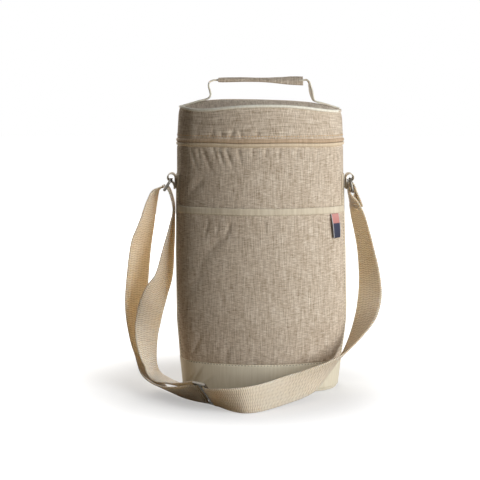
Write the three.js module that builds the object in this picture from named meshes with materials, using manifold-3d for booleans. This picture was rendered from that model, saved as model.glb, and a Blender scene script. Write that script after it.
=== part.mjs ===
// Insulated carrier for two bottles: an oval cloth body with a zipped lid, a wrapped carry handle,
// a front pocket and a webbing shoulder strap on two metal rings.
// Millimetres, +Z up. The origin is the middle of the flat base on the floor, and the front faces -Y.

import * as THREE from "three";
import { mergeVertices } from "three/addons/utils/BufferGeometryUtils.js";
import Module from "manifold-3d";

const wasm = await Module();
wasm.setup();

// Driving dimensions: plan and heights
const BAG_WIDTH = 208;
const BAG_DEPTH = 120;
const END_RADIUS = 45;
const ZIP_HEIGHT = 305;
const LID_HEIGHT = 45;
const LID_CROWN = 5.5;
const CROWN_FULLNESS = 4;
const LID_END_DROP = 7;

// How far the soft wall stands outside (or inside) the plan oval at each height
const FLOOR_TUCK = 8.5;
const FOOT_TUCK = 4.5;
const BELLY_SWELL = 0.4;
const BELLY_LOW = 85;
const BELLY_HIGH = 130;
const NECK_TUCK = 2.6;
const LID_TUCK = 4;

// Layers of the wall, and the gap between sewn layers
const LAYER_GAP = 0.3;
const CLOTH = 1.2;
const FOAM = 5;
const LINER = 0.8;
const BOARD = 2;
const TAPE = 0.9;
const BINDING = 0.8;

// Foot, pocket, tapes and label
const BASE_BAND_HEIGHT = 39;
const BASE_BAND_LAP = 7;
const BASE_PIPING_RADIUS = 1.9;
const BASE_PANEL = 1.6;
const POCKET_HEIGHT = 228.5;
const POCKET_EASE = 1.4;
const POCKET_FOOT_RISE = 20;
const BINDING_WIDTH = 8.5;
const SIDE_TAPE_WIDTH = 38;
const LABEL_WIDTH = 12;
const LABEL_LENGTH = 29;
const LABEL_FROM_SEAM = 40;
const LABEL_PLY = 0.5;
const LABEL_LOOP = 0.8;

// Zip
const ZIP_OPENING = 8.8;
const ZIP_TAPE_WIDTH = 12;
const ZIP_SLOT = 1.6;
const COIL_DEPTH = 1.5;
const COIL_HEIGHT = 2.3;
const HINGE_WIDTH = 100;
const SLIDER_LENGTH = 14;
const SLIDER_HEIGHT = 6.8;
const SLIDER_PLATE = 2.1;
const SLIDER_CLEARANCE = 0.5;
const SLIDER_ANGLE = 50;
const BRIDGE_BAR = 1.2;
const BRIDGE_HEIGHT = 2;
const BRIDGE_POST = 2.5;
const BRIDGE_INSET = 1;
const PULLER_EYE = 1.5;
const PULLER_WALL = 1;
const PULLER_LENGTH = 24;
const PULLER_WIDTH = 6;
const PULLER_THICKNESS = 1.6;

// Lid edge and carry handle
const LID_PIPING_RADIUS = 1.6;
const HANDLE_WIDTH = 25;
const HANDLE_THICKNESS = 2.4;
const HANDLE_LEG_X = 61;
const HANDLE_RISE = 24;
const HANDLE_FOOT_INSET = 4.8;
const HANDLE_LIE_GAP = 1.1;
const GRIP_LENGTH = 103;
const GRIP_HEIGHT = 9;
const GRIP_DEPTH = 16;
const CORE_WIDTH = 11;
const CORE_HEIGHT = 3.4;

// Strap, rings and adjuster
const STRAP_WIDTH = 32;
const STRAP_THICKNESS = 2;
const RING_HEIGHT = 261;
const RING_WIRE_RADIUS = 1.8;
const RING_INNER_HEIGHT = 11.4;
const RING_SIDE_ROOM = 1;
const RING_CORNER = 4;
const LEFT_RING_TILT = 32;
const RIGHT_RING_TILT = 12;
const LOOP_WIDTH = 25;
const LOOP_INNER_RADIUS = 4.2;
const LOOP_TAIL = 14;
const ADJUSTER_LENGTH = 20;
const ADJUSTER_WIDTH = 38;
const ADJUSTER_THICKNESS = 2.4;
const ADJUSTER_BAR = 3;
const ADJUSTER_RAIL = 2.4;
const ADJUSTER_PLACE = [-64.5, -108.5, 16.2];
const ADJUSTER_ALONG = [-0.72, 0.69, 0];
const ADJUSTER_ACROSS = [0.43, 0.45, -0.78];

// Padded divider between the bottles
const DIVIDER_THICKNESS = 2;
const DIVIDER_HEIGHT = 200;

// Facets
const END_FACETS = 6;
const SIDE_FACETS = 5;
const ROUND_FACETS = 8;
const SLIDER_FACETS = 4;
const RING_CORNER_FACETS = 3;
const GRIP_FACETS = 12;
const CROWN_RINGS = 4;
const LEVEL_MARGIN = 1;
const SAME_POINT = 0.01;
const HANDLE_SUBSTEPS = 3;
const STRAP_SUBSTEPS = 2;

// Heights and radii that follow from the sizes above
const HALF_WIDTH = BAG_WIDTH / 2;
const HALF_DEPTH = BAG_DEPTH / 2;
const END_CENTRE = HALF_WIDTH - END_RADIUS;
const FLATNESS = HALF_DEPTH - END_RADIUS;
const SIDE_CENTRE = (END_CENTRE ** 2 - FLATNESS ** 2) / (2 * FLATNESS);
const SIDE_RADIUS = SIDE_CENTRE + HALF_DEPTH;
const END_SWEEP = Math.atan2(SIDE_CENTRE, END_CENTRE);
const SIDE_SWEEP = Math.PI / 2 - END_SWEEP;
const QUARTER = END_FACETS + SIDE_FACETS;
const LID_EDGE = ZIP_HEIGHT + LID_HEIGHT;
const BODY_TOP = ZIP_HEIGHT - ZIP_OPENING / 2;
const LID_BOTTOM = ZIP_HEIGHT + ZIP_OPENING / 2;
const TAPE_BOTTOM = ZIP_HEIGHT - ZIP_TAPE_WIDTH;
const TAPE_TOP = ZIP_HEIGHT + ZIP_TAPE_WIDTH;

// Offsets of each layer's faces from the outer wall surface, outward positive
const FOAM_OUT = -CLOTH - LAYER_GAP;
const FOAM_IN = FOAM_OUT - FOAM;
const LINER_OUT = FOAM_IN - LAYER_GAP;
const LINER_IN = LINER_OUT - LINER;
const ZIP_TAPE_OUT = -CLOTH - LAYER_GAP;
const ZIP_TAPE_IN = ZIP_TAPE_OUT - TAPE;
const COIL_OUT = ZIP_TAPE_IN - LAYER_GAP;
const COIL_IN = COIL_OUT - COIL_DEPTH;
const TRIM_IN = LAYER_GAP;
const SIDE_TAPE_OUT = TRIM_IN + TAPE;
const POCKET_IN = POCKET_EASE;
const POCKET_OUT = POCKET_IN + CLOTH;

// Stacked floor layers
const BOARD_BOTTOM = BASE_PANEL + LAYER_GAP;
const FOAM_FLOOR_BOTTOM = BOARD_BOTTOM + BOARD + LAYER_GAP;
const LINER_FLOOR_BOTTOM = FOAM_FLOOR_BOTTOM + FOAM + LAYER_GAP;
const LINER_FLOOR_TOP = LINER_FLOOR_BOTTOM + LINER;

// The hand-laid route of the strap: the middle of the webbing, and the way its width points.
// The long run starts at the tail of the loop sewn round the right ring, goes down and across the floor in
// front of the bag, over the adjuster's first bar and behind the other two, and rises to the left ring.
const LONG_RUN = [
  { at: [119.3, -2.4, 223.5], across: [-0.36, 0.93, -0.08] },
  { at: [116.2, 0, 246], across: [0, 1, 0] },
  { at: [112.6, 0, 253.8], across: [0, 1, 0] },
  { at: [109.1, 0, 250], across: [0, 1, 0] },
  { at: [108.7, 0, 243.6], across: [0, 1, 0] },
  { at: [110.9, -0.6, 237], across: [-0.1, 0.99, 0] },
  { at: [115, -2, 228], across: [-0.3, 0.95, -0.08] },
  { at: [120, -3, 213], across: [-0.46, 0.88, -0.1] },
  { at: [129.5, -5, 173.6], across: [-0.57, 0.81, -0.11] },
  { at: [135, -9, 134], across: [-0.79, 0.61, -0.1] },
  { at: [134.5, -14, 112], across: [-0.88, 0.47, -0.08] },
  { at: [129, -23, 91], across: [-0.8, 0.6, -0.1] },
  { at: [115, -38, 68], across: [-0.35, 0.92, -0.15] },
  { at: [98, -52, 48], across: [0, 0.96, -0.28] },
  { at: [81, -64, 36], across: [0.08, 0.75, -0.65] },
  { at: [58, -79, 24], across: [0.12, 0.1, -0.98] },
  { at: [33, -96, 19], across: [0.2, -0.15, -0.97] },
  { at: [-5, -131, 16.5], across: [0.15, 0, -0.98] },
  { at: [-22, -138.5, 16.3], across: [0.15, 0.15, -0.97] },
  { at: [-41, -133, 15.5], across: [0.28, 0.35, -0.89] },
  { at: [-56.7, -119.1, 14.4], across: [0.43, 0.45, -0.78] },
  { at: [-61.3, -114.1, 14.7], across: [0.43, 0.45, -0.78] },
  { at: [-61.4, -111.4, 16.2], across: [0.43, 0.45, -0.78] },
  { at: [-61.5, -108.7, 17.7], across: [0.43, 0.45, -0.78] },
  { at: [-63, -107, 17.9], across: [0.43, 0.45, -0.78] },
  { at: [-72, -98.4, 17.9], across: [0.43, 0.45, -0.78] },
  { at: [-87, -83, 16.5], across: [0.55, 0.62, -0.5] },
  { at: [-104, -62, 16], across: [0.6, 0.75, -0.25] },
  { at: [-122, -38, 17], across: [0.55, 0.83, -0.1] },
  { at: [-134, -22, 27], across: [0.45, 0.85, -0.25] },
  { at: [-140, -17, 64.4], across: [0.83, 0.55, -0.12] },
  { at: [-136, -15.5, 95], across: [1, 0.06, 0] },
  { at: [-128.8, -13, 117.6], across: [0.92, 0.39, -0.07] },
  { at: [-119.1, -10, 138.3], across: [0.65, 0.75, -0.12] },
  { at: [-113, -6, 172], across: [0.38, 0.9, -0.13] },
  { at: [-108.2, -3, 202], across: [0.14, 0.98, -0.09] },
  { at: [-106.2, 0, 223], across: [0, 1, 0] },
  { at: [-110.4, 0, 242], across: [0, 1, 0] },
  { at: [-113.4, 0, 247.8], across: [0, 1, 0] },
  { at: [-116.9, 0, 249.8], across: [0, 1, 0] },
];
// The return run goes down from the left ring, round on the floor and over the adjuster's last bar.
const RETURN_RUN = [
  { at: [-118, 0, 249.8], across: [0, 1, 0] },
  { at: [-119.9, 0, 249.3], across: [0, 1, 0] },
  { at: [-123.3, 0, 247.6], across: [0.08, 0.99, -0.04] },
  { at: [-128.9, 0, 243.2], across: [0.2, 0.97, -0.07] },
  { at: [-133.3, 1, 231], across: [0.33, 0.94, -0.1] },
  { at: [-137.6, 2, 214.5], across: [0.45, 0.89, -0.1] },
  { at: [-142, 4, 198], across: [0.6, 0.79, -0.1] },
  { at: [-147, 6, 180], across: [0.75, 0.66, -0.09] },
  { at: [-152, 9, 141.5], across: [0.81, 0.58, -0.09] },
  { at: [-154.4, 8, 98], across: [0.85, 0.53, -0.08] },
  { at: [-149.5, 6, 60], across: [0.82, 0.57, -0.08] },
  { at: [-143.5, 0, 38], across: [0.75, 0.65, -0.1] },
  { at: [-137, -18, 19], across: [0.65, 0.7, -0.25] },
  { at: [-124, -45, 11], across: [0.68, 0.6, -0.42] },
  { at: [-107, -73, 10], across: [0.6, 0.6, -0.5] },
  { at: [-88, -91, 12], across: [0.52, 0.52, -0.66] },
  { at: [-75.5, -101.1, 14.4], across: [0.43, 0.45, -0.78] },
  { at: [-70.3, -105.5, 14.7], across: [0.43, 0.45, -0.78] },
  { at: [-67.9, -105.7, 15.9], across: [0.43, 0.45, -0.78] },
];

const MATERIALS = {
  cloth: new THREE.MeshStandardMaterial({ color: 0xb09f8b, roughness: 0.9, metalness: 0 }),
  cream: new THREE.MeshStandardMaterial({ color: 0xd8cdbb, roughness: 0.75, metalness: 0 }),
  base: new THREE.MeshStandardMaterial({ color: 0xc3b9a0, roughness: 0.6, metalness: 0 }),
  zipTape: new THREE.MeshStandardMaterial({ color: 0xc8ab86, roughness: 0.8, metalness: 0 }),
  zipCoil: new THREE.MeshStandardMaterial({ color: 0xb4966f, roughness: 0.5, metalness: 0 }),
  webbing: new THREE.MeshStandardMaterial({ color: 0xc9b18d, roughness: 0.8, metalness: 0 }),
  metal: new THREE.MeshStandardMaterial({ color: 0xb9b9b9, roughness: 0.25, metalness: 1 }),
  foam: new THREE.MeshStandardMaterial({ color: 0xe8e6df, roughness: 0.95, metalness: 0 }),
  liner: new THREE.MeshStandardMaterial({ color: 0xbfc2c4, roughness: 0.35, metalness: 0 }),
  board: new THREE.MeshStandardMaterial({ color: 0x6b6b68, roughness: 0.7, metalness: 0 }),
  label: new THREE.MeshStandardMaterial({ color: 0x2a3350, roughness: 0.8, metalness: 0 }),
};

const bag = new THREE.Group();

function addPiece(name, geometry, material, parent = bag) {
  const mesh = new THREE.Mesh(geometry, material);
  mesh.name = name;
  parent.add(mesh);
  return mesh;
}

// Closed body through rings of points. Rings close on themselves, or end in caps cut from the profile.
function loft(rings, closed, profile) {
  const count = rings[0].length;
  const spans = closed ? rings.length : rings.length - 1;
  const faces = [];
  for (let i = 0; i < spans; i += 1) {
    const next = (i + 1) % rings.length;
    for (let k = 0; k < count; k += 1) {
      const beside = (k + 1) % count;
      const a = i * count + k;
      const b = i * count + beside;
      const c = next * count + beside;
      const d = next * count + k;
      faces.push(a, b, c, a, c, d);
    }
  }
  if (!closed) {
    const turn = THREE.ShapeUtils.area(profile) > 0 ? 1 : -1;
    const last = (rings.length - 1) * count;
    for (const [a, b, c] of THREE.ShapeUtils.triangulateShape(profile, [])) {
      const [p, q] = turn > 0 ? [b, c] : [c, b];
      faces.push(a, q, p);
      faces.push(last + a, last + p, last + q);
    }
  }
  const points = rings.flat();
  const geometry = new THREE.BufferGeometry();
  geometry.setAttribute("position", new THREE.Float32BufferAttribute(points.flatMap((p) => p.toArray()), 3));
  geometry.setIndex(signedVolume(points, faces) < 0 ? faces.reverse() : faces);
  geometry.computeVertexNormals();
  return geometry;
}

function signedVolume(points, faces) {
  let volume = 0;
  const normal = new THREE.Vector3();
  for (let i = 0; i < faces.length; i += 3) {
    normal.crossVectors(points[faces[i + 1]], points[faces[i + 2]]);
    volume += points[faces[i]].dot(normal);
  }
  return volume;
}

function toSolid(geometry) {
  const bare = geometry.clone();
  bare.deleteAttribute("normal");
  bare.deleteAttribute("uv");
  const merged = mergeVertices(bare);
  return new wasm.Manifold(new wasm.Mesh({
    numProp: 3,
    vertProperties: new Float32Array(merged.attributes.position.array),
    triVerts: new Uint32Array(merged.index.array),
  }));
}

function toGeometry(solid) {
  const mesh = solid.getMesh();
  const geometry = new THREE.BufferGeometry();
  geometry.setAttribute("position", new THREE.BufferAttribute(mesh.vertProperties, 3));
  geometry.setIndex(new THREE.BufferAttribute(mesh.triVerts, 1));
  geometry.computeVertexNormals();
  return geometry;
}

// The plan oval is two end arcs and two flatter side arcs, tangent to each other. Mark 0 is the right side
// seam, and marks count round the back, the left seam and the front. A fraction lies on the facet between.
const OVAL_MARKS = ovalMarks();

function ovalMarks() {
  const quarter = [];
  for (let i = 0; i < END_FACETS; i += 1) {
    quarter.push({ x: END_CENTRE, y: 0, radius: END_RADIUS, angle: (END_SWEEP * i) / END_FACETS });
  }
  for (let i = 0; i < SIDE_FACETS; i += 1) {
    const angle = END_SWEEP + (SIDE_SWEEP * i) / SIDE_FACETS;
    quarter.push({ x: 0, y: -SIDE_CENTRE, radius: SIDE_RADIUS, angle });
  }
  const back = { x: 0, y: -SIDE_CENTRE, radius: SIDE_RADIUS, angle: Math.PI / 2 };
  const mirrorX = (m) => ({ x: -m.x, y: m.y, radius: m.radius, angle: Math.PI - m.angle });
  const turned = (m) => ({ x: -m.x, y: -m.y, radius: m.radius, angle: m.angle + Math.PI });
  const half = [...quarter, back, ...quarter.slice(1).reverse().map(mirrorX)];
  return [...half, ...half.map(turned)];
}

function ovalPoint(mark, offset, z) {
  const total = OVAL_MARKS.length;
  const low = Math.floor(mark);
  const corner = (index) => {
    const m = OVAL_MARKS[((index % total) + total) % total];
    const reach = m.radius + offset;
    return new THREE.Vector3(m.x + reach * Math.cos(m.angle), m.y + reach * Math.sin(m.angle), z);
  };
  return corner(low).lerp(corner(low + 1), mark - low);
}

// Marks a given distance along the wall from the right side seam or from the middle of the back
const markFromSeam = (distance) => distance / ((END_RADIUS * END_SWEEP) / END_FACETS);
const markFromBack = (distance) => QUARTER - distance / ((SIDE_RADIUS * SIDE_SWEEP) / SIDE_FACETS);

function marksBetween(from, to) {
  const marks = [from];
  for (let mark = Math.floor(from) + 1; mark < to; mark += 1) {
    marks.push(mark);
  }
  marks.push(to);
  return marks;
}

// The soft wall swells and tucks with height
const WALL_STATIONS = [
  [0, -FLOOR_TUCK],
  [BASE_BAND_HEIGHT, -FOOT_TUCK],
  [BELLY_LOW, BELLY_SWELL],
  [BELLY_HIGH, BELLY_SWELL],
  [ZIP_HEIGHT, -NECK_TUCK],
  [LID_EDGE, -LID_TUCK],
];

function wallSwell(z) {
  const above = WALL_STATIONS.findIndex(([height]) => height >= z);
  const next = above < 0 ? WALL_STATIONS.length - 1 : Math.max(above, 1);
  const [lowZ, low] = WALL_STATIONS[next - 1];
  const [highZ, high] = WALL_STATIONS[next];
  return low + ((high - low) * (z - lowZ)) / (highZ - lowZ);
}

function wallLevels(bottom, top) {
  const clear = LEVEL_MARGIN;
  const between = WALL_STATIONS.map(([z]) => z).filter((z) => z > bottom + clear && z < top - clear);
  return [bottom, ...between, top];
}

// The lid's level lines droop towards the two ends, from nothing at the zip to the full drop at its edge
function lidDroop(point) {
  const share = (point.z - ZIP_HEIGHT) / LID_HEIGHT;
  point.z -= share * LID_END_DROP * (point.x / HALF_WIDTH) ** 2;
  return point;
}

// Profile of a wall layer between two offsets, as points of offset and height
function wallProfile(inner, outer, bottom, top) {
  const levels = wallLevels(bottom, top);
  const outside = levels.map((z) => new THREE.Vector2(wallSwell(z) + outer, z));
  const inside = levels.map((z) => new THREE.Vector2(wallSwell(z) + inner, z)).reverse();
  return [...outside, ...inside];
}

function sweepRound(profile, shape = (p) => p) {
  const rings = OVAL_MARKS.map((_, mark) => profile.map((p) => shape(ovalPoint(mark, p.x, p.y))));
  return loft(rings, true);
}

function sweepPart(profile, from, to, shape = (p) => p) {
  const rings = marksBetween(from, to).map((mark) => profile.map((p) => shape(ovalPoint(mark, p.x, p.y))));
  return loft(rings, false, profile);
}

function circleProfile(offset, z, radius) {
  const points = [];
  for (let i = 0; i < ROUND_FACETS; i += 1) {
    const angle = (2 * Math.PI * i) / ROUND_FACETS;
    points.push(new THREE.Vector2(offset + radius * Math.cos(angle), z + radius * Math.sin(angle)));
  }
  return points;
}

// Flat or crowned oval plate. Each ring is an offset from the plan oval, a share of it and a height.
function plate(rings, shape = (p) => p) {
  const loops = rings.map(({ offset, share, z }) => OVAL_MARKS.map((_, mark) => {
    const point = ovalPoint(mark, offset, z);
    point.x *= share;
    point.y *= share;
    return shape(point);
  }));
  const outline = loops[0].map((p) => new THREE.Vector2(p.x, p.y));
  return loft(loops, false, outline);
}

function flatPlate(offset, bottom, thickness) {
  return plate([{ offset, share: 1, z: bottom }, { offset, share: 1, z: bottom + thickness }]);
}

// Strip of webbing through hand-placed stations, each with its own width
function webbing(stations, thickness, substeps) {
  const middle = new THREE.CatmullRomCurve3(stations.map((s) => new THREE.Vector3(...s.at)));
  const across = new THREE.CatmullRomCurve3(stations.map((s) => new THREE.Vector3(...s.across)));
  const widths = new THREE.CatmullRomCurve3(stations.map((s) => new THREE.Vector3(s.width, 0, 0)));
  const steps = (stations.length - 1) * substeps;
  const rings = [];
  for (let i = 0; i <= steps; i += 1) {
    const t = i / steps;
    const centre = middle.getPoint(t);
    const along = middle.getTangent(t);
    const side = across.getPoint(t);
    side.addScaledVector(along, -side.dot(along)).normalize().multiplyScalar(widths.getPoint(t).x / 2);
    const normal = new THREE.Vector3().crossVectors(along, side).normalize().multiplyScalar(thickness / 2);
    rings.push([
      centre.clone().sub(side).sub(normal),
      centre.clone().add(side).sub(normal),
      centre.clone().add(side).add(normal),
      centre.clone().sub(side).add(normal),
    ]);
  }
  const square = [[-1, -1], [1, -1], [1, 1], [-1, 1]].map(([x, y]) => new THREE.Vector2(x, y));
  return loft(rings, false, square);
}

// Outline drawn in offset and height, extruded along the wall and set upright on the plan at an angle
function standOnWall(shape, width, x, y, angle, steps = 1) {
  const geometry = new THREE.ExtrudeGeometry(shape, { depth: width, bevelEnabled: false, steps });
  geometry.translate(0, 0, -width / 2);
  geometry.rotateX(Math.PI / 2);
  geometry.rotateZ(angle);
  geometry.translate(x, y, 0);
  return geometry;
}

// Foot: base cloth, stiffener, corded edge and the smooth band round the foot
function buildFoot() {
  const panelEdge = -FLOOR_TUCK - 2 * BASE_PIPING_RADIUS - LAYER_GAP;
  addPiece("base_panel", flatPlate(panelEdge, 0, BASE_PANEL), MATERIALS.base);
  addPiece("base_board", flatPlate(panelEdge, BOARD_BOTTOM, BOARD), MATERIALS.board);
  const pipingZ = BASE_PIPING_RADIUS + LAYER_GAP;
  const piping = circleProfile(-FLOOR_TUCK - BASE_PIPING_RADIUS, pipingZ, BASE_PIPING_RADIUS);
  addPiece("base_piping", sweepRound(piping), MATERIALS.cream);
  const bandBottom = pipingZ + BASE_PIPING_RADIUS + LAYER_GAP;
  const band = wallProfile(TRIM_IN, TRIM_IN + CLOTH, bandBottom, BASE_BAND_HEIGHT);
  addPiece("base_band", sweepRound(band), MATERIALS.base);
}

// Body wall: two cloth halves joined at the side seams, foam and lining behind them
function buildBodyWall() {
  const panelBottom = BASE_BAND_HEIGHT - BASE_BAND_LAP;
  const panel = wallProfile(-CLOTH, 0, panelBottom, BODY_TOP);
  const seam = markFromSeam(LAYER_GAP / 2);
  addPiece("back_panel", sweepPart(panel, seam, 2 * QUARTER - seam), MATERIALS.cloth);
  addPiece("front_panel", sweepPart(panel, 2 * QUARTER + seam, 4 * QUARTER - seam), MATERIALS.cloth);

  const foamTop = TAPE_BOTTOM - LAYER_GAP;
  const foam = wallProfile(FOAM_IN, FOAM_OUT, FOAM_FLOOR_BOTTOM, foamTop);
  addPiece("foam_wall", sweepRound(foam), MATERIALS.foam);

  const flangeBottom = foamTop + LAYER_GAP;
  const flangeTop = flangeBottom + LINER;
  const liner = wallProfile(LINER_IN, LINER_OUT, LINER_FLOOR_TOP + LAYER_GAP, flangeTop);
  const flange = [
    new THREE.Vector2(wallSwell(flangeTop) + COIL_OUT, flangeTop),
    new THREE.Vector2(wallSwell(flangeBottom) + COIL_OUT, flangeBottom),
    new THREE.Vector2(wallSwell(flangeBottom) + LINER_OUT, flangeBottom),
  ];
  const outsideCount = liner.length / 2;
  const lipped = [...liner.slice(0, outsideCount - 1), ...flange.reverse(), ...liner.slice(outsideCount)];
  addPiece("liner_wall", sweepRound(lipped), MATERIALS.liner);

  const floorEdge = wallSwell(FOAM_FLOOR_BOTTOM) + LINER_OUT;
  addPiece("foam_floor", flatPlate(floorEdge, FOAM_FLOOR_BOTTOM, FOAM), MATERIALS.foam);
  addPiece("liner_floor", flatPlate(floorEdge, LINER_FLOOR_BOTTOM, LINER), MATERIALS.liner);
}

// Divider: a padded upright sheet that follows the lining from front to back
function buildDivider() {
  const bottom = LINER_FLOOR_TOP + LAYER_GAP;
  const levels = wallLevels(bottom, bottom + DIVIDER_HEIGHT);
  const reach = (z) => HALF_DEPTH + wallSwell(z) + LINER_IN - LAYER_GAP;
  const outline = new THREE.Shape([
    ...levels.map((z) => new THREE.Vector2(reach(z), z)),
    ...levels.reverse().map((z) => new THREE.Vector2(-reach(z), z)),
  ]);
  addPiece("bottle_divider", standOnWall(outline, DIVIDER_THICKNESS, 0, 0, Math.PI / 2), MATERIALS.liner);
}

// Front pocket between the side tapes, its bound mouth and a plain ribbon label under the binding
function buildPocket() {
  const edge = markFromSeam(SIDE_TAPE_WIDTH / 2 + LAYER_GAP);
  const from = 2 * QUARTER + edge;
  const to = 4 * QUARTER - edge;
  const foot = BASE_BAND_HEIGHT + LAYER_GAP;
  const full = foot + POCKET_FOOT_RISE;
  const top = POCKET_HEIGHT - BINDING - LAYER_GAP;
  const upper = wallProfile(POCKET_IN, POCKET_OUT, full, top);
  const footOut = new THREE.Vector2(wallSwell(foot) + TRIM_IN + CLOTH, foot);
  const footIn = new THREE.Vector2(wallSwell(foot) + TRIM_IN, foot);
  addPiece("pocket_panel", sweepPart([footOut, ...upper, footIn], from, to), MATERIALS.cloth);

  const bindingBottom = POCKET_HEIGHT - BINDING_WIDTH;
  const skirt = (offset, z) => new THREE.Vector2(wallSwell(z) + offset, z);
  const insideFace = POCKET_IN - LAYER_GAP;
  const outsideFace = POCKET_OUT + LAYER_GAP;
  const fold = POCKET_HEIGHT - BINDING;
  const binding = [
    skirt(outsideFace + BINDING, bindingBottom),
    skirt(outsideFace + BINDING, POCKET_HEIGHT),
    skirt(insideFace - BINDING, POCKET_HEIGHT),
    skirt(insideFace - BINDING, bindingBottom),
    skirt(insideFace, bindingBottom),
    skirt(insideFace, fold),
    skirt(outsideFace, fold),
    skirt(outsideFace, bindingBottom),
  ];
  addPiece("pocket_binding", sweepPart(binding, from, to), MATERIALS.cream);

  const angle = -LABEL_FROM_SEAM / END_RADIUS;
  const labelTop = bindingBottom - LAYER_GAP;
  const labelBottom = labelTop - LABEL_LENGTH;
  const labelIn = END_RADIUS + wallSwell(labelBottom) + POCKET_OUT + LAYER_GAP;
  const labelOut = labelIn + 2 * LABEL_PLY + LABEL_LOOP;
  const loopMiddle = (labelIn + labelOut) / 2;
  const outerRadius = (labelOut - labelIn) / 2;
  const ribbon = new THREE.Shape();
  ribbon.moveTo(labelIn, labelTop);
  ribbon.lineTo(labelIn, labelBottom + outerRadius);
  ribbon.absarc(loopMiddle, labelBottom + outerRadius, outerRadius, Math.PI, 2 * Math.PI, false);
  ribbon.lineTo(labelOut, labelTop);
  ribbon.lineTo(labelOut - LABEL_PLY, labelTop);
  ribbon.absarc(loopMiddle, labelBottom + outerRadius, outerRadius - LABEL_PLY, 0, -Math.PI, true);
  ribbon.lineTo(labelIn + LABEL_PLY, labelTop);
  addPiece("side_label", standOnWall(ribbon, LABEL_WIDTH, END_CENTRE, 0, angle), MATERIALS.label);
}

// Side seam tape, the tape loop over it and the strap ring in the loop. Side 1 is right, -1 is left.
function buildSide(name, side, tilt) {
  const half = markFromSeam(SIDE_TAPE_WIDTH / 2);
  const seamMark = side > 0 ? 0 : 2 * QUARTER;
  const tapeTop = RING_HEIGHT + LOOP_INNER_RADIUS;
  const tape = wallProfile(TRIM_IN, SIDE_TAPE_OUT, BASE_BAND_HEIGHT + LAYER_GAP, tapeTop);
  addPiece(`${name}_side_tape`, sweepPart(tape, seamMark - half, seamMark + half), MATERIALS.cream);

  const loopOuter = LOOP_INNER_RADIUS + TAPE;
  const seat = HALF_WIDTH + wallSwell(RING_HEIGHT - LOOP_TAIL) + SIDE_TAPE_OUT + LAYER_GAP;
  const eyeX = seat + loopOuter;
  const loop = new THREE.Shape();
  loop.moveTo(seat, RING_HEIGHT - LOOP_TAIL);
  loop.lineTo(seat + TAPE, RING_HEIGHT - LOOP_TAIL);
  loop.lineTo(seat + TAPE, RING_HEIGHT - loopOuter);
  loop.lineTo(eyeX, RING_HEIGHT - loopOuter);
  loop.absarc(eyeX, RING_HEIGHT, loopOuter, -Math.PI / 2, Math.PI, false);
  const eye = new THREE.Path();
  eye.absarc(eyeX, RING_HEIGHT, LOOP_INNER_RADIUS, 0, 2 * Math.PI, true);
  loop.holes.push(eye);
  const angle = side > 0 ? 0 : Math.PI;
  const loopGeometry = standOnWall(loop, LOOP_WIDTH, 0, 0, angle);
  addPiece(`${name}_ring_loop`, loopGeometry, MATERIALS.cream);

  const ring = addPiece(`${name}_ring`, ringGeometry(), MATERIALS.metal);
  const hangs = LOOP_INNER_RADIUS - RING_WIRE_RADIUS - LAYER_GAP;
  ring.position.set(side * eyeX, 0, RING_HEIGHT - hangs);
  ring.rotation.y = -side * THREE.MathUtils.degToRad(tilt);
}

// Rounded rectangle of wire: the upper bar lies on the Y axis and the lower bar hangs below it
function ringGeometry() {
  const halfBar = STRAP_WIDTH / 2 + RING_SIDE_ROOM + RING_WIRE_RADIUS;
  const drop = RING_INNER_HEIGHT + 2 * RING_WIRE_RADIUS;
  const outline = new THREE.Path();
  outline.moveTo(-halfBar + RING_CORNER, 0);
  outline.lineTo(halfBar - RING_CORNER, 0);
  outline.absarc(halfBar - RING_CORNER, -RING_CORNER, RING_CORNER, Math.PI / 2, 0, true);
  outline.lineTo(halfBar, -drop + RING_CORNER);
  outline.absarc(halfBar - RING_CORNER, -drop + RING_CORNER, RING_CORNER, 0, -Math.PI / 2, true);
  outline.lineTo(-halfBar + RING_CORNER, -drop);
  outline.absarc(-halfBar + RING_CORNER, -drop + RING_CORNER, RING_CORNER, -Math.PI / 2, -Math.PI, true);
  outline.lineTo(-halfBar, -RING_CORNER);
  outline.absarc(-halfBar + RING_CORNER, -RING_CORNER, RING_CORNER, Math.PI, Math.PI / 2, true);
  const points = dropRepeats(outline.getPoints(RING_CORNER_FACETS));
  const rings = points.map((point, i) => {
    const before = points[(i + points.length - 1) % points.length];
    const after = points[(i + 1) % points.length];
    const along = after.clone().sub(before).normalize();
    const outward = new THREE.Vector2(along.y, -along.x);
    return circleProfile(0, 0, RING_WIRE_RADIUS).map((p) => {
      const place = point.clone().addScaledVector(outward, p.x);
      return new THREE.Vector3(p.y, place.x, place.y);
    });
  });
  return loft(rings, true);
}

function dropRepeats(points) {
  return points.filter((p, i) => p.distanceTo(points[(i + 1) % points.length]) > SAME_POINT);
}

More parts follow.
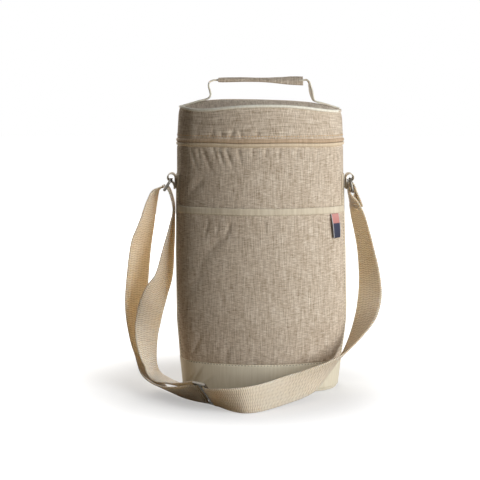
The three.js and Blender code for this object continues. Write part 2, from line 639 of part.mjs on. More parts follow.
// Zip: tapes with their coils inside, the cloth hinge at the back, and the slider with its puller
function buildZip(lid) {
  const from = markFromBack(HINGE_WIDTH / 2);
  const start = 2 * QUARTER - from;
  const end = 4 * QUARTER + from;
  const slotLow = ZIP_HEIGHT - ZIP_SLOT / 2;
  const slotHigh = ZIP_HEIGHT + ZIP_SLOT / 2;
  const coilMeet = LAYER_GAP / 2;
  const lowerTape = wallProfile(ZIP_TAPE_IN, ZIP_TAPE_OUT, TAPE_BOTTOM, slotLow);
  const upperTape = wallProfile(ZIP_TAPE_IN, ZIP_TAPE_OUT, slotHigh, TAPE_TOP);
  const coilLow = ZIP_HEIGHT - coilMeet;
  const coilHigh = ZIP_HEIGHT + coilMeet;
  const lowerCoil = wallProfile(COIL_IN, COIL_OUT, coilLow - COIL_HEIGHT, coilLow);
  const upperCoil = wallProfile(COIL_IN, COIL_OUT, coilHigh, coilHigh + COIL_HEIGHT);
  addPiece("lower_zip_tape", sweepPart(lowerTape, start, end), MATERIALS.zipTape);
  addPiece("lower_zip_coil", sweepPart(lowerCoil, start, end), MATERIALS.zipCoil);
  addPiece("upper_zip_tape", sweepPart(upperTape, start, end, lidDroop), MATERIALS.zipTape, lid);
  addPiece("upper_zip_coil", sweepPart(upperCoil, start, end, lidDroop), MATERIALS.zipCoil, lid);

  const strip = wallProfile(-CLOTH, 0, BODY_TOP + LAYER_GAP, LID_BOTTOM - LAYER_GAP);
  const hinge = sweepPart(strip, from, 2 * QUARTER - from, lidDroop);
  addPiece("lid_hinge_strip", hinge, MATERIALS.cloth);
  buildSlider();
}

// The slider is drawn on the X axis, outside the tape, with a keel in the slot between the tapes and a
// bridge that the puller's eye goes round. A turned group then sets both on the zip behind the right end.
function buildSlider() {
  const place = new THREE.Group();
  place.position.set(END_CENTRE, 0, 0);
  place.rotation.z = THREE.MathUtils.degToRad(SLIDER_ANGLE);
  bag.add(place);

  const zipRadius = END_RADIUS - NECK_TUCK;
  const plateIn = zipRadius + ZIP_TAPE_OUT + SLIDER_CLEARANCE;
  const plateOut = plateIn + SLIDER_PLATE;
  const keelIn = zipRadius + ZIP_TAPE_IN;
  const keelHalf = ZIP_SLOT / 2 - LAYER_GAP;
  const plateHalf = SLIDER_HEIGHT / 2;
  const body = new THREE.Shape();
  body.moveTo(plateIn, ZIP_HEIGHT - plateHalf);
  body.lineTo(plateOut, ZIP_HEIGHT - plateHalf);
  body.lineTo(plateOut, ZIP_HEIGHT + plateHalf);
  body.lineTo(plateIn, ZIP_HEIGHT + plateHalf);
  body.lineTo(plateIn, ZIP_HEIGHT + keelHalf);
  body.lineTo(keelIn, ZIP_HEIGHT + keelHalf);
  body.lineTo(keelIn, ZIP_HEIGHT - keelHalf);
  body.lineTo(plateIn, ZIP_HEIGHT - keelHalf);
  const straight = standOnWall(body, SLIDER_LENGTH, 0, 0, 0, SLIDER_FACETS);
  const bodySolid = toSolid(curveRound(straight, plateIn));

  const eyeOuter = PULLER_EYE + PULLER_WALL;
  const barMiddle = plateOut + LAYER_GAP + eyeOuter;
  const barIn = barMiddle - BRIDGE_BAR / 2;
  const barOut = barMiddle + BRIDGE_BAR / 2;
  const root = plateOut - SLIDER_PLATE / 2;
  const halfLength = SLIDER_LENGTH / 2;
  const halfClear = halfLength - BRIDGE_POST;
  const arch = new THREE.Shape();
  arch.moveTo(root, -halfLength + BRIDGE_INSET);
  arch.lineTo(barOut, -halfLength + BRIDGE_INSET);
  arch.lineTo(barOut, halfLength - BRIDGE_INSET);
  arch.lineTo(root, halfLength - BRIDGE_INSET);
  arch.lineTo(root, halfClear);
  arch.lineTo(barIn, halfClear);
  arch.lineTo(barIn, -halfClear);
  arch.lineTo(root, -halfClear);
  const bridge = new THREE.ExtrudeGeometry(arch, { depth: BRIDGE_HEIGHT, bevelEnabled: false });
  bridge.translate(0, 0, ZIP_HEIGHT - BRIDGE_HEIGHT / 2);
  addPiece("zip_slider", toGeometry(bodySolid.add(toSolid(bridge))), MATERIALS.metal, place);

  const halfTab = PULLER_THICKNESS / 2;
  const shoulder = Math.asin(halfTab / eyeOuter);
  const puller = new THREE.Shape();
  puller.moveTo(barMiddle - halfTab, ZIP_HEIGHT - PULLER_LENGTH);
  puller.lineTo(barMiddle + halfTab, ZIP_HEIGHT - PULLER_LENGTH);
  const eyeStart = -Math.PI / 2 + shoulder;
  puller.absarc(barMiddle, ZIP_HEIGHT, eyeOuter, eyeStart, 3 * Math.PI / 2 - shoulder, false);
  const eye = new THREE.Path();
  eye.absarc(barMiddle, ZIP_HEIGHT, PULLER_EYE, 0, 2 * Math.PI, true);
  puller.holes.push(eye);
  addPiece("zip_puller", standOnWall(puller, PULLER_WIDTH, 0, 0, 0), MATERIALS.metal, place);
}

// Wraps a straight extrusion along Y round the Z axis at the given radius
function curveRound(geometry, radius) {
  const position = geometry.attributes.position;
  for (let i = 0; i < position.count; i += 1) {
    const reach = position.getX(i);
    const angle = position.getY(i) / radius;
    position.setX(i, reach * Math.cos(angle));
    position.setY(i, reach * Math.sin(angle));
  }
  return geometry;
}

// Lid: cloth band, corded edge, crowned top, foam and lining
function buildLid(lid) {
  const pipingZ = LID_EDGE - LID_PIPING_RADIUS;
  const bandTop = pipingZ - LID_PIPING_RADIUS - LAYER_GAP;
  const band = wallProfile(-CLOTH, 0, LID_BOTTOM, bandTop);
  addPiece("lid_band", sweepRound(band, lidDroop), MATERIALS.cloth, lid);
  const pipingOffset = -LID_TUCK - LID_PIPING_RADIUS / 2;
  const piping = circleProfile(pipingOffset, pipingZ, LID_PIPING_RADIUS);
  addPiece("lid_piping", sweepRound(piping, lidDroop), MATERIALS.cream, lid);

  const panelEdge = pipingOffset - LID_PIPING_RADIUS - LAYER_GAP;
  const panelBottom = pipingZ - CLOTH / 2;
  addPiece("lid_top_panel", crownedPlate(panelEdge, panelBottom, CLOTH), MATERIALS.cloth, lid);
  const foamBottom = panelBottom - LAYER_GAP - FOAM;
  const foamEdge = -LID_TUCK + FOAM_OUT - LAYER_GAP;
  const foamSeat = Math.min(panelEdge, foamEdge);
  addPiece("lid_foam_top", crownedPlate(foamSeat, foamBottom, FOAM), MATERIALS.foam, lid);

  const foamBandBottom = TAPE_TOP + LAYER_GAP;
  const foamBandTop = foamBottom - LAYER_GAP;
  const foamBand = wallProfile(FOAM_IN, FOAM_OUT, foamBandBottom, foamBandTop);
  addPiece("lid_foam_band", sweepRound(foamBand, lidDroop), MATERIALS.foam, lid);

  const linerTopZ = foamBottom - LAYER_GAP - LINER;
  addPiece("lid_liner_top", crownedPlate(-LID_TUCK + LINER_OUT, linerTopZ, LINER), MATERIALS.liner, lid);
  const flangeTop = foamBandBottom - LAYER_GAP;
  const flangeBottom = flangeTop - LINER;
  const linerBand = wallProfile(LINER_IN, LINER_OUT, flangeBottom, linerTopZ - LAYER_GAP);
  const outsideCount = linerBand.length / 2;
  const flange = [
    new THREE.Vector2(wallSwell(flangeBottom) + COIL_OUT, flangeBottom),
    new THREE.Vector2(wallSwell(flangeTop) + COIL_OUT, flangeTop),
    new THREE.Vector2(wallSwell(flangeTop) + LINER_OUT, flangeTop),
  ];
  const lipped = [...flange, ...linerBand.slice(1, outsideCount), ...linerBand.slice(outsideCount)];
  addPiece("lid_liner_band", sweepRound(lipped, lidDroop), MATERIALS.liner, lid);
}

// The lid's top rises fast from its edge and lies almost flat in the middle. A share runs from 0 to 1 there.
const crownRise = (share) => LID_CROWN * (1 - share ** CROWN_FULLNESS);

// Oval sheet that rises from its edge to the crown in the middle
function crownedPlate(edge, bottom, thickness) {
  const shares = Array.from({ length: CROWN_RINGS }, (_, i) => (i + 1) / CROWN_RINGS);
  const under = shares.map((share) => ({ offset: edge, share, z: bottom + crownRise(share) }));
  const over = under.map((ring) => ({ ...ring, z: ring.z + thickness })).reverse();
  return plate([...under, ...over], lidDroop);
}

// Height of the lid's top cloth above the point (x, 0)
function lidTopAt(x) {
  const edgeTop = LID_EDGE - LID_PIPING_RADIUS + CLOTH / 2;
  const share = Math.min(1, Math.abs(x) / (HALF_WIDTH - LID_TUCK));
  return lidDroop(new THREE.Vector3(x, 0, edgeTop + crownRise(share))).z;
}

// Carry handle: one webbing from end to end of the lid, in three stretches, and the cloth grip round it
function buildHandle(lid) {
  const gripZ = lidTopAt(0) + HANDLE_RISE;
  const gripEnd = GRIP_LENGTH / 2;
  const coreEnd = gripEnd - LAYER_GAP;
  const lie = HANDLE_LIE_GAP + HANDLE_THICKNESS / 2;
  for (const [name, side] of [["left", -1], ["right", 1]]) {
    const footEnd = HALF_WIDTH - LID_TUCK - HANDLE_FOOT_INSET;
    const lying = (x) => [side * x, 0, lidTopAt(x) + lie];
    const middleZ = (lidTopAt(HANDLE_LEG_X) + gripZ) / 2;
    const stations = [
      { at: lying(footEnd), width: HANDLE_WIDTH },
      { at: lying((footEnd + HANDLE_LEG_X) / 2), width: HANDLE_WIDTH },
      { at: lying(HANDLE_LEG_X + HANDLE_THICKNESS), width: HANDLE_WIDTH },
      { at: [side * HANDLE_LEG_X, 0, middleZ], width: (HANDLE_WIDTH + CORE_WIDTH) / 2 },
      { at: [side * (HANDLE_LEG_X - HANDLE_THICKNESS), 0, gripZ - HANDLE_THICKNESS], width: CORE_WIDTH },
      { at: [side * (gripEnd + LAYER_GAP), 0, gripZ], width: CORE_WIDTH },
    ];
    const placed = stations.map((s) => ({ ...s, across: [0, 1, 0] }));
    const leg = webbing(placed, HANDLE_THICKNESS, HANDLE_SUBSTEPS);
    addPiece(`handle_webbing_${name}`, leg, MATERIALS.cream, lid);
  }
  const sleeve = new THREE.Shape();
  sleeve.absellipse(0, 0, GRIP_DEPTH / 2, GRIP_HEIGHT / 2, 0, 2 * Math.PI);
  const bore = new THREE.Path();
  const boreX = CORE_WIDTH / 2 + LAYER_GAP;
  const boreY = CORE_HEIGHT / 2 + LAYER_GAP;
  bore.moveTo(-boreX, -boreY);
  bore.lineTo(-boreX, boreY);
  bore.lineTo(boreX, boreY);
  bore.lineTo(boreX, -boreY);
  sleeve.holes.push(bore);
  const grip = new THREE.ExtrudeGeometry(sleeve, {
    depth: GRIP_LENGTH, bevelEnabled: false, curveSegments: GRIP_FACETS,
  });
  grip.translate(0, 0, -GRIP_LENGTH / 2);
  grip.rotateX(Math.PI / 2);
  grip.rotateZ(Math.PI / 2);
  grip.translate(0, 0, gripZ);
  addPiece("handle_grip", grip, MATERIALS.cloth, lid);
  const core = new THREE.BoxGeometry(2 * coreEnd, CORE_WIDTH, CORE_HEIGHT);
  core.translate(0, 0, gripZ);
  addPiece("handle_core", core, MATERIALS.cream, lid);
}

// Shoulder strap and its slide adjuster: a frame with a middle bar, leaning with the webbing
function buildStrap() {
  const broad = (run) => run.map((s) => ({ ...s, width: STRAP_WIDTH }));
  addPiece("strap_long", webbing(broad(LONG_RUN), STRAP_THICKNESS, STRAP_SUBSTEPS), MATERIALS.webbing);
  addPiece("strap_return", webbing(broad(RETURN_RUN), STRAP_THICKNESS, STRAP_SUBSTEPS), MATERIALS.webbing);

  const slotLength = (ADJUSTER_LENGTH - 3 * ADJUSTER_BAR) / 2;
  const slotWidth = ADJUSTER_WIDTH - 2 * ADJUSTER_RAIL;
  const throughCut = 2 * ADJUSTER_THICKNESS;
  let frame = toSolid(new THREE.BoxGeometry(ADJUSTER_LENGTH, ADJUSTER_WIDTH, ADJUSTER_THICKNESS));
  for (const side of [-1, 1]) {
    const slot = new THREE.BoxGeometry(slotLength, slotWidth, throughCut);
    slot.translate((side * (slotLength + ADJUSTER_BAR)) / 2, 0, 0);
    frame = frame.subtract(toSolid(slot));
  }
  const along = new THREE.Vector3(...ADJUSTER_ALONG).normalize();
  const across = new THREE.Vector3(...ADJUSTER_ACROSS);
  across.addScaledVector(along, -across.dot(along)).normalize();
  const normal = new THREE.Vector3().crossVectors(along, across);
  const adjuster = addPiece("strap_adjuster", toGeometry(frame), MATERIALS.metal);
  adjuster.quaternion.setFromRotationMatrix(new THREE.Matrix4().makeBasis(along, across, normal));
  adjuster.position.set(...ADJUSTER_PLACE);
}

const lid = new THREE.Group();
bag.add(lid);
buildFoot();
buildBodyWall();
buildDivider();
buildPocket();
buildSide("left", -1, LEFT_RING_TILT);
buildSide("right", 1, RIGHT_RING_TILT);
buildZip(lid);
buildLid(lid);
buildHandle(lid);
buildStrap();

export default bag;
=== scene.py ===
import functools
import math

import bmesh
import bpy
import numpy as np
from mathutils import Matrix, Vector, noise


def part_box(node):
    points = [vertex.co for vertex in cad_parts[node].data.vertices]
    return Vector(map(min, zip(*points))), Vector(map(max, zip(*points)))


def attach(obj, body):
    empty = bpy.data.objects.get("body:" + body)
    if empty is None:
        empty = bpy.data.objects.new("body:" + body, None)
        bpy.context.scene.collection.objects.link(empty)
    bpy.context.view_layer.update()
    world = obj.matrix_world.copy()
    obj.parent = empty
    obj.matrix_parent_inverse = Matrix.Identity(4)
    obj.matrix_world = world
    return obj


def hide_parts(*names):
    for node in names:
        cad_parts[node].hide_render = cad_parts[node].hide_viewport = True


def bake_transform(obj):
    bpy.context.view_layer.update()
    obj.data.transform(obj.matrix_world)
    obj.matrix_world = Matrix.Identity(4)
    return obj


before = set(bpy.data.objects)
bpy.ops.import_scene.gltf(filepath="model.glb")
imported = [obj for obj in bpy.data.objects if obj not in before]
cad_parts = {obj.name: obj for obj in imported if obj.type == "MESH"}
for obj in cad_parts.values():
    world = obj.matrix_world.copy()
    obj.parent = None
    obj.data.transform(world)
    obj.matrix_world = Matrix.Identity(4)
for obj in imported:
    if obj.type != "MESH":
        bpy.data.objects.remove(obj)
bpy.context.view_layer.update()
scene = bpy.context.scene
scene.view_settings.view_transform = "Standard"

# Camera: a long lens a metre and a half in front of the bag, about level with the carry handle and tipped a
# little down, so that the front shows flat on and only a sliver of the lid's top is seen.
CAMERA_PLACE = (-0.025, -1.552, 0.390)
CAMERA_TIP = math.radians(7.6)
FOCAL_SHARE = 2.642
camera_lens = bpy.data.cameras.new("camera")
camera_lens.lens = camera_lens.sensor_width * FOCAL_SHARE
camera = bpy.data.objects.new("camera", camera_lens)
camera.location = CAMERA_PLACE
camera.rotation_euler = (math.pi / 2 - CAMERA_TIP, 0, 0)
scene.collection.objects.link(camera)
scene.camera = camera


# Studio: a white sweep under plain soft light. A large window-like lamp stands to the right of the bag, the
# lit sweep behind sends light back round it, and the floor keeps the soft shadow round the bag's foot.
FLOOR_HALF = 6.0
FLOOR_COLOUR = (0.60, 0.60, 0.60, 1)
FLOOR_BOUNCE = (0.38, 0.32, 0.24, 1)
FLOOR_GLOW_NEAR = 0.40
FLOOR_GLOW_FAR = 1.0
GLOW_FADE_CENTRE = (-0.028, 0.002)
GLOW_FADE_REACH = (0.26, 0.24)
GLOW_FADE_START = 0.40
GLOW_FADE_STOP = 1.12
AMBIENT = 0.018
AMBIENT_TINT = (1.0, 0.84, 0.64, 1)
WHITE = (1, 1, 1, 1)
DAYLIGHT = (0.96, 0.98, 1.0)
SWEEP_LIGHT = (1.0, 0.97, 0.92)


def fill(tree, node, inputs):
    """Fills a node's inputs, by name or number, each with a value or with another node's output."""
    for label, value in dict(inputs).items():
        if isinstance(value, bpy.types.NodeSocket):
            tree.links.new(value, node.inputs[label])
        else:
            node.inputs[label].default_value = value


def add_node(tree, kind, inputs=(), **settings):
    """A new node with its settings made and its inputs filled. Its outputs are given back."""
    node = tree.nodes.new(kind)
    for setting, value in settings.items():
        setattr(node, setting, value)
    fill(tree, node, inputs)
    return node.outputs


def reckon(tree, operation, *values):
    """One step of arithmetic in a node tree."""
    return add_node(tree, "ShaderNodeMath", enumerate(values), operation=operation)[0]


def blend_colours(tree, factor, first, second):
    """The first colour where the factor is nought and the second where it is one."""
    inputs = {"Factor": factor, "A": first, "B": second}
    return add_node(tree, "ShaderNodeMix", inputs, data_type="RGBA")["Result"]


def seen_directly(tree):
    """One where the background is looked at, straight or in a reflection, and nought where it only lights."""
    rays = add_node(tree, "ShaderNodeLightPath")
    seen = reckon(tree, "MAXIMUM", rays["Is Camera Ray"], rays["Is Glossy Ray"])
    return reckon(tree, "MAXIMUM", seen, rays["Is Transmission Ray"])


def lamp(name, place, aim, size, power, colour):
    """A square soft light at a place, turned to face a point."""
    light = bpy.data.lights.new(name, "AREA")
    light.size = size
    light.energy = power
    light.color = colour
    stand = bpy.data.objects.new(name, light)
    stand.location = place
    stand.rotation_euler = (Vector(aim) - Vector(place)).to_track_quat("-Z", "Y").to_euler()
    scene.collection.objects.link(stand)


world = bpy.data.worlds.new("studio")
world.use_nodes = True
scene.world = world
sky_tree = world.node_tree
sky_seen = seen_directly(sky_tree)
sky_tint = blend_colours(sky_tree, sky_seen, AMBIENT_TINT, WHITE)
sky_glow = reckon(sky_tree, "MULTIPLY_ADD", sky_seen, 1 - AMBIENT, AMBIENT)
fill(sky_tree, sky_tree.nodes["Background"], {"Color": sky_tint, "Strength": sky_glow})

floor_mesh = bpy.data.meshes.new("floor")
floor_corners = [(x * FLOOR_HALF, y * FLOOR_HALF, 0) for x, y in ((-1, -1), (1, -1), (1, 1), (-1, 1))]
floor_mesh.from_pydata(floor_corners, [], [(0, 1, 2, 3)])
floor = bpy.data.objects.new("floor", floor_mesh)
scene.collection.objects.link(floor)
floor_paint = bpy.data.materials.new("floor_paint")
floor_paint.use_nodes = True
floor_tree = floor_paint.node_tree
floor_tree.nodes.clear()
floor_seen = seen_directly(floor_tree)
floor_tint = blend_colours(floor_tree, floor_seen, FLOOR_BOUNCE, FLOOR_COLOUR)
floor_matt = add_node(floor_tree, "ShaderNodeBsdfDiffuse", {"Color": floor_tint})
floor_place = add_node(floor_tree, "ShaderNodeNewGeometry")["Position"]
fade_scale = [1 / reach for reach in GLOW_FADE_REACH] + [0]
fade_shift = [-at / reach for at, reach in zip(GLOW_FADE_CENTRE, GLOW_FADE_REACH)] + [0]
fade_inputs = enumerate((floor_place, fade_scale, fade_shift))
fade_oval = add_node(floor_tree, "ShaderNodeVectorMath", fade_inputs, operation="MULTIPLY_ADD")[0]
fade_away = add_node(floor_tree, "ShaderNodeVectorMath", {0: fade_oval}, operation="LENGTH")["Value"]
fade_range = {
    "Value": fade_away,
    "From Min": GLOW_FADE_START,
    "From Max": GLOW_FADE_STOP,
    "To Min": FLOOR_GLOW_NEAR,
    "To Max": FLOOR_GLOW_FAR,
}
floor_fade = add_node(floor_tree, "ShaderNodeMapRange", fade_range, interpolation_type="SMOOTHSTEP")
floor_glow = reckon(floor_tree, "MULTIPLY", floor_seen, floor_fade["Result"])
floor_light = add_node(floor_tree, "ShaderNodeEmission", {"Strength": floor_glow})
floor_sum = add_node(floor_tree, "ShaderNodeAddShader", enumerate((floor_matt[0], floor_light[0])))
add_node(floor_tree, "ShaderNodeOutputMaterial", {"Surface": floor_sum[0]})
floor_mesh.materials.append(floor_paint)

lamp("key_window", place=(1.28, -1.03, 0.58), aim=(0, 0, 0.18), size=1.2, power=32.5, colour=DAYLIGHT)
lamp("back_sweep", place=(-0.6, 1.45, 0.75), aim=(0, 0, 0.15), size=1.8, power=32, colour=SWEEP_LIGHT)


# Outer cloth: two halves of a heavy melange cloth that looks like linen, cut from one roll and sewn together
# at the sides. It is stretched over foam, and draws in where the zip's tape is sewn along its top edge.
MM = 0.001
END_RADIUS = 0.045
BELLY_SWELL = 0.0004
WALL_HEIGHTS = (0, 0.039, 0.057, 0.085, 0.130, 0.150, 0.250, 0.305, 0.350)
WALL_SWELLS = (-0.0085, -0.0045, -0.0023, BELLY_SWELL, BELLY_SWELL, 0, -0.0019, -0.0026, -0.0052)
WALL_TOP = 0.36
WALL_STEPS = 181
WALL_EASE = 15
LEAN_HEIGHTS = (0, 0.035, 0.065, 0.100, 0.150, 0.250, 0.330)
LEANS = (0.0002, 0.0006, 0.0014, 0.0018, 0.0009, -0.0004, -0.0006)
CLOTH = 1.2 * MM
CLOTH_STEP = 2.4 * MM
FOLD_STEP = 1.3 * MM
SEAM_GAP = 0.3 * MM
SEAM_TURN = 3.0 * MM
SEAM_TUCK = 0.9 * MM
PANEL_SLACK = 0.5 * MM
PUCKER_DEPTH = 0.5
PUCKER_SPREAD = 0.3
SHARP_FOLD = math.radians(55)
YARN = 0.6 * MM
WARP_SLUB = 20 * MM
WEFT_SLUB = 6.5 * MM
THREAD_SCATTER = 60
THREAD_STRIDE = 7.37
UNDER_SHARE = 0.25
GRAIN_SHARE = 0.3
CLOTH_DARK = (136, 114, 90)
CLOTH_MIDDLE = (208, 190, 168)
CLOTH_LIGHT = (243, 232, 216)
panel_low, panel_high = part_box("front_panel")
HALF_WIDTH = panel_high.x - BELLY_SWELL
HALF_DEPTH = -panel_low.y - BELLY_SWELL
END_CENTRE = HALF_WIDTH - END_RADIUS
SIDE_CENTRE = (END_CENTRE**2 - (HALF_DEPTH - END_RADIUS) ** 2) / (2 * (HALF_DEPTH - END_RADIUS))
SIDE_RADIUS = HALF_DEPTH + SIDE_CENTRE
END_SWEEP = math.atan2(SIDE_CENTRE, END_CENTRE)
END_ARC = END_RADIUS * END_SWEEP
QUARTER = END_ARC + SIDE_RADIUS * (math.pi / 2 - END_SWEEP)
RIGHT_SEAM, BACK_MIDDLE, LEFT_SEAM, FRONT_MIDDLE, AROUND = (k * QUARTER for k in range(5))


def oval(along):
    """Points of the bag's plan, at distances from the right seam round the back, and the way each faces."""
    half, rest = np.divmod(np.mod(along, AROUND), 2 * QUARTER)
    mirrored = rest > QUARTER
    reach = np.where(mirrored, 2 * QUARTER - rest, rest)
    on_end = reach <= END_ARC
    angle = np.where(on_end, reach / END_RADIUS, END_SWEEP + (reach - END_ARC) / SIDE_RADIUS)
    radius = np.where(on_end, END_RADIUS, SIDE_RADIUS)
    east = np.cos(angle)
    north = np.sin(angle)
    x = np.where(on_end, END_CENTRE, 0) + radius * east
    y = np.where(on_end, 0, -SIDE_CENTRE) + radius * north
    turn = np.where(half > 0, -1, 1)
    flip = np.where(mirrored, -turn, turn)
    return flip * x, turn * y, flip * east, turn * north


def wall(up):
    """How far the wall stands out from the plan: in at the foot, full at the belly, in again at the zip."""
    heights = np.linspace(0, WALL_TOP, WALL_STEPS)
    swell = np.pad(np.interp(heights, WALL_HEIGHTS, WALL_SWELLS), WALL_EASE // 2, mode="edge")
    ease = np.hanning(WALL_EASE)
    return np.interp(up, heights, np.convolve(swell, ease / ease.sum(), "valid"))


def bag_lean(up):
    """How far the bag leans to the right of upright at each height."""
    return np.interp(up, LEAN_HEIGHTS, LEANS)


def on_bag(along, out, up):
    """Points on the bag, from their distances along its plan, out from it and up."""
    x, y, east, north = oval(along)
    return np.stack(np.broadcast_arrays(x + east * out + bag_lean(up), y + north * out, up), -1)


def slack(along, up, size, seed):
    """Soft unevenness of cloth, from minus one to one, in lumps of about the given size."""
    x, y, east, north = oval(along)
    spots = np.stack(np.broadcast_arrays(x, y, up), -1) / size + seed
    return np.array([noise.noise(spot) for spot in spots.reshape(-1, 3)]).reshape(spots.shape[:-1])


def panel_slack(along, up):
    """The unevenness of the wall's own cloth, which the tapes sewn to it follow."""
    return PANEL_SLACK * slack(along, up, size=0.05, seed=3)


def folds(middle, *rows):
    """Dents near a place along the bag. A row gives, in millimetres, how far along from there and how high a
    dent is, its depth, half width and half height, and then its lean."""
    return [(middle + row[0] * MM, *(value * MM for value in row[1:5]), row[5]) for row in rows]


def creases(along, up, dents):
    """How far the cloth stands out where it has short dents across it."""
    stand = np.zeros(np.broadcast(along, up).shape)
    for at, height, depth, wide, tall, lean in dents:
        side = (along - at - lean * (up - height)) / wide
        stand -= depth * np.exp(-(side**2)) * np.exp(-(((up - height) / tall) ** 2))
    return stand


def piece(name, points, faces, weave):
    """A new object from points, faces and the place in the cloth, in metres, of each corner of each face."""
    mesh = bpy.data.meshes.new(name)
    mesh.from_pydata(np.asarray(points).tolist(), [], faces)
    mesh.uv_layers.new(name="weave").data.foreach_set("uv", np.asarray(weave, np.float32).ravel())
    shape = bmesh.new()
    shape.from_mesh(mesh)
    bmesh.ops.recalc_face_normals(shape, faces=shape.faces)
    shape.to_mesh(mesh)
    shape.free()
    mesh.shade_smooth()
    mesh.set_sharp_from_angle(angle=SHARP_FOLD)
    thing = bpy.data.objects.new(name, mesh)
    scene.collection.objects.link(thing)
    return thing


def loft(name, sections, lengthwise, around, ring=False):
    """A skin over closed sections set one after another. In a ring the last joins the first, and otherwise
    both ends are capped. lengthwise and around place the sections and their points in the cloth, each with
    its closing value last."""
    count, sides = sections.shape[:2]
    i = np.arange(count if ring else count - 1)[:, None]
    j = np.arange(sides)[None, :]
    corners = ((i, j), (i + 1, j), (i + 1, j + 1), (i, j + 1))
    faces = np.stack([(a % count) * sides + b % sides for a, b in corners], -1).reshape(-1, 4).tolist()
    places = [np.stack(np.broadcast_arrays(lengthwise[a], around[b]), -1) for a, b in corners]
    weave = np.stack(places, -2).reshape(-1, 2).tolist()
    if not ring:
        for end, first in ((0, 0), (-1, (count - 1) * sides)):
            faces.append(list(range(first, first + sides)))
            weave += [(lengthwise[end], around[k]) for k in range(sides)]
    return piece(name, sections.reshape(-1, 3), faces, weave)


def swept(name, along, out, up, ring=False):
    """A strip of cloth run round the bag. out and up say how far out from the plan, and how high, the points
    of each section are."""
    edges = np.hypot(np.diff(out[0], append=out[0, :1]), np.diff(up[0], append=up[0, :1]))
    around = up[0, 0] + np.append(0, np.cumsum(edges))
    lengthwise = np.append(along, along[0] + AROUND) if ring else along
    return loft(name, on_bag(along[:, None], out, up), lengthwise, around, ring)


def ply(out, up, thick):
    """The closed section of one layer of cloth from the line of its outer face, with rounded edges."""
    line = np.stack((out, up))
    run = np.gradient(line, axis=2)
    run = run / np.hypot(*run)
    back = line + thick * np.stack((-run[1], run[0]))
    middle = (line + back) / 2
    top = middle[..., -1:] + run[..., -1:] * thick / 2
    low = middle[..., :1] - run[..., :1] * thick / 2
    return np.concatenate((line, top, back[..., ::-1], low), axis=2)


def steps(start, stop, pitch):
    """Evenly spaced values from start to stop, about a pitch apart."""
    return np.linspace(start, stop, max(2, round(abs(stop - start) / pitch) + 1))


def levels(along, start, stop, pitch):
    """Evenly spaced heights, the same at every place along."""
    return np.tile(steps(start, stop, pitch), (len(along), 1))


def finish_colour(red, green, blue):
    """A colour as it is read off a screen, from 0 to 255, in the linear form that shaders take."""
    shares = [value / 255 for value in (red, green, blue)]
    return [s / 12.92 if s <= 0.04045 else ((s + 0.055) / 1.055) ** 2.4 for s in shares] + [1]


def effect_group(name, *sizes):
    """A new shader group that takes a place and some sizes, and gives a tone and a height. It comes with what
    it takes and with its results, to be filled."""
    tree = bpy.data.node_groups.new(name, "ShaderNodeTree")
    tree.interface.new_socket("Place", in_out="INPUT", socket_type="NodeSocketVector")
    for label in sizes:
        tree.interface.new_socket(label, in_out="INPUT", socket_type="NodeSocketFloat")
    for label in ("Tone", "Height"):
        tree.interface.new_socket(label, in_out="OUTPUT", socket_type="NodeSocketFloat")
    return tree, add_node(tree, "NodeGroupInput"), tree.nodes.new("NodeGroupOutput")


def weave_group(name, *sizes):
    """An effect group for a weave, and the two distances that make up a place in its cloth."""
    tree, taken, results = effect_group(name, *sizes)
    split = add_node(tree, "ShaderNodeSeparateXYZ", {0: taken["Place"]})
    return tree, taken, results, split["X"], split["Y"]


def clouds(tree, x, y, detail):
    """Smooth noise over a place given by its two distances."""
    place = add_node(tree, "ShaderNodeCombineXYZ", {"X": x, "Y": y})[0]
    inputs = {"Vector": place, "Scale": 1, "Detail": detail}
    return add_node(tree, "ShaderNodeTexNoise", inputs, noise_dimensions="2D")["Fac"]


def cloth_place(tree):
    """Where a point lies in its cloth, in metres."""
    return add_node(tree, "ShaderNodeUVMap", uv_map="weave")["UV"]


def placed(tree, group, place, **sizes):
    """An effect group placed in a material, with its sizes filled by name."""
    inputs = {label.replace("_", " "): size for label, size in sizes.items()}
    return add_node(tree, "ShaderNodeGroup", {"Place": place, **inputs}, node_tree=group)


def woven(tree, weave, **sizes):
    """A weave placed in a material by where each point lies in the cloth."""
    return placed(tree, weave, cloth_place(tree), **sizes)


def shader(name, roughness, sheen=0.0, gloss=0.5, metallic=0.0):
    """A new material with its plain values set, and its node tree and surface shader."""
    material = bpy.data.materials.new(name)
    material.use_nodes = True
    surface = material.node_tree.nodes["Principled BSDF"]
    surface.inputs["Roughness"].default_value = roughness
    surface.inputs["Sheen Weight"].default_value = sheen
    surface.inputs["Specular IOR Level"].default_value = gloss
    surface.inputs["Metallic"].default_value = metallic
    return material, material.node_tree, surface


def ramp(tree, factor, stops):
    """A colour that follows a value through the given stops."""
    node = tree.nodes.new("ShaderNodeValToRGB")
    while len(node.color_ramp.elements) < len(stops):
        node.color_ramp.elements.new(0.5)
    for element, (place, colour) in zip(node.color_ramp.elements, stops):
        element.position = place
        element.color = finish_colour(*colour)
    fill(tree, node, {"Fac": factor})
    return node.outputs["Color"]


def dress(tree, surface, colour, height, bump, depth):
    """Gives a surface its colour and its fine relief, such as yarns."""
    inputs = {"Height": height, "Strength": bump, "Distance": depth}
    normal = add_node(tree, "ShaderNodeBump", inputs)["Normal"]
    fill(tree, surface, {"Base Color": colour, "Normal": normal})


def fit(thing, material, body, slot_name, *nodes):
    """Gives a piece its finish, the body it moves with and the parts of the frame that it stands for."""
    thing.data.materials.append(material)
    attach(thing, body)
    if nodes:
        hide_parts(*nodes)
    return thing


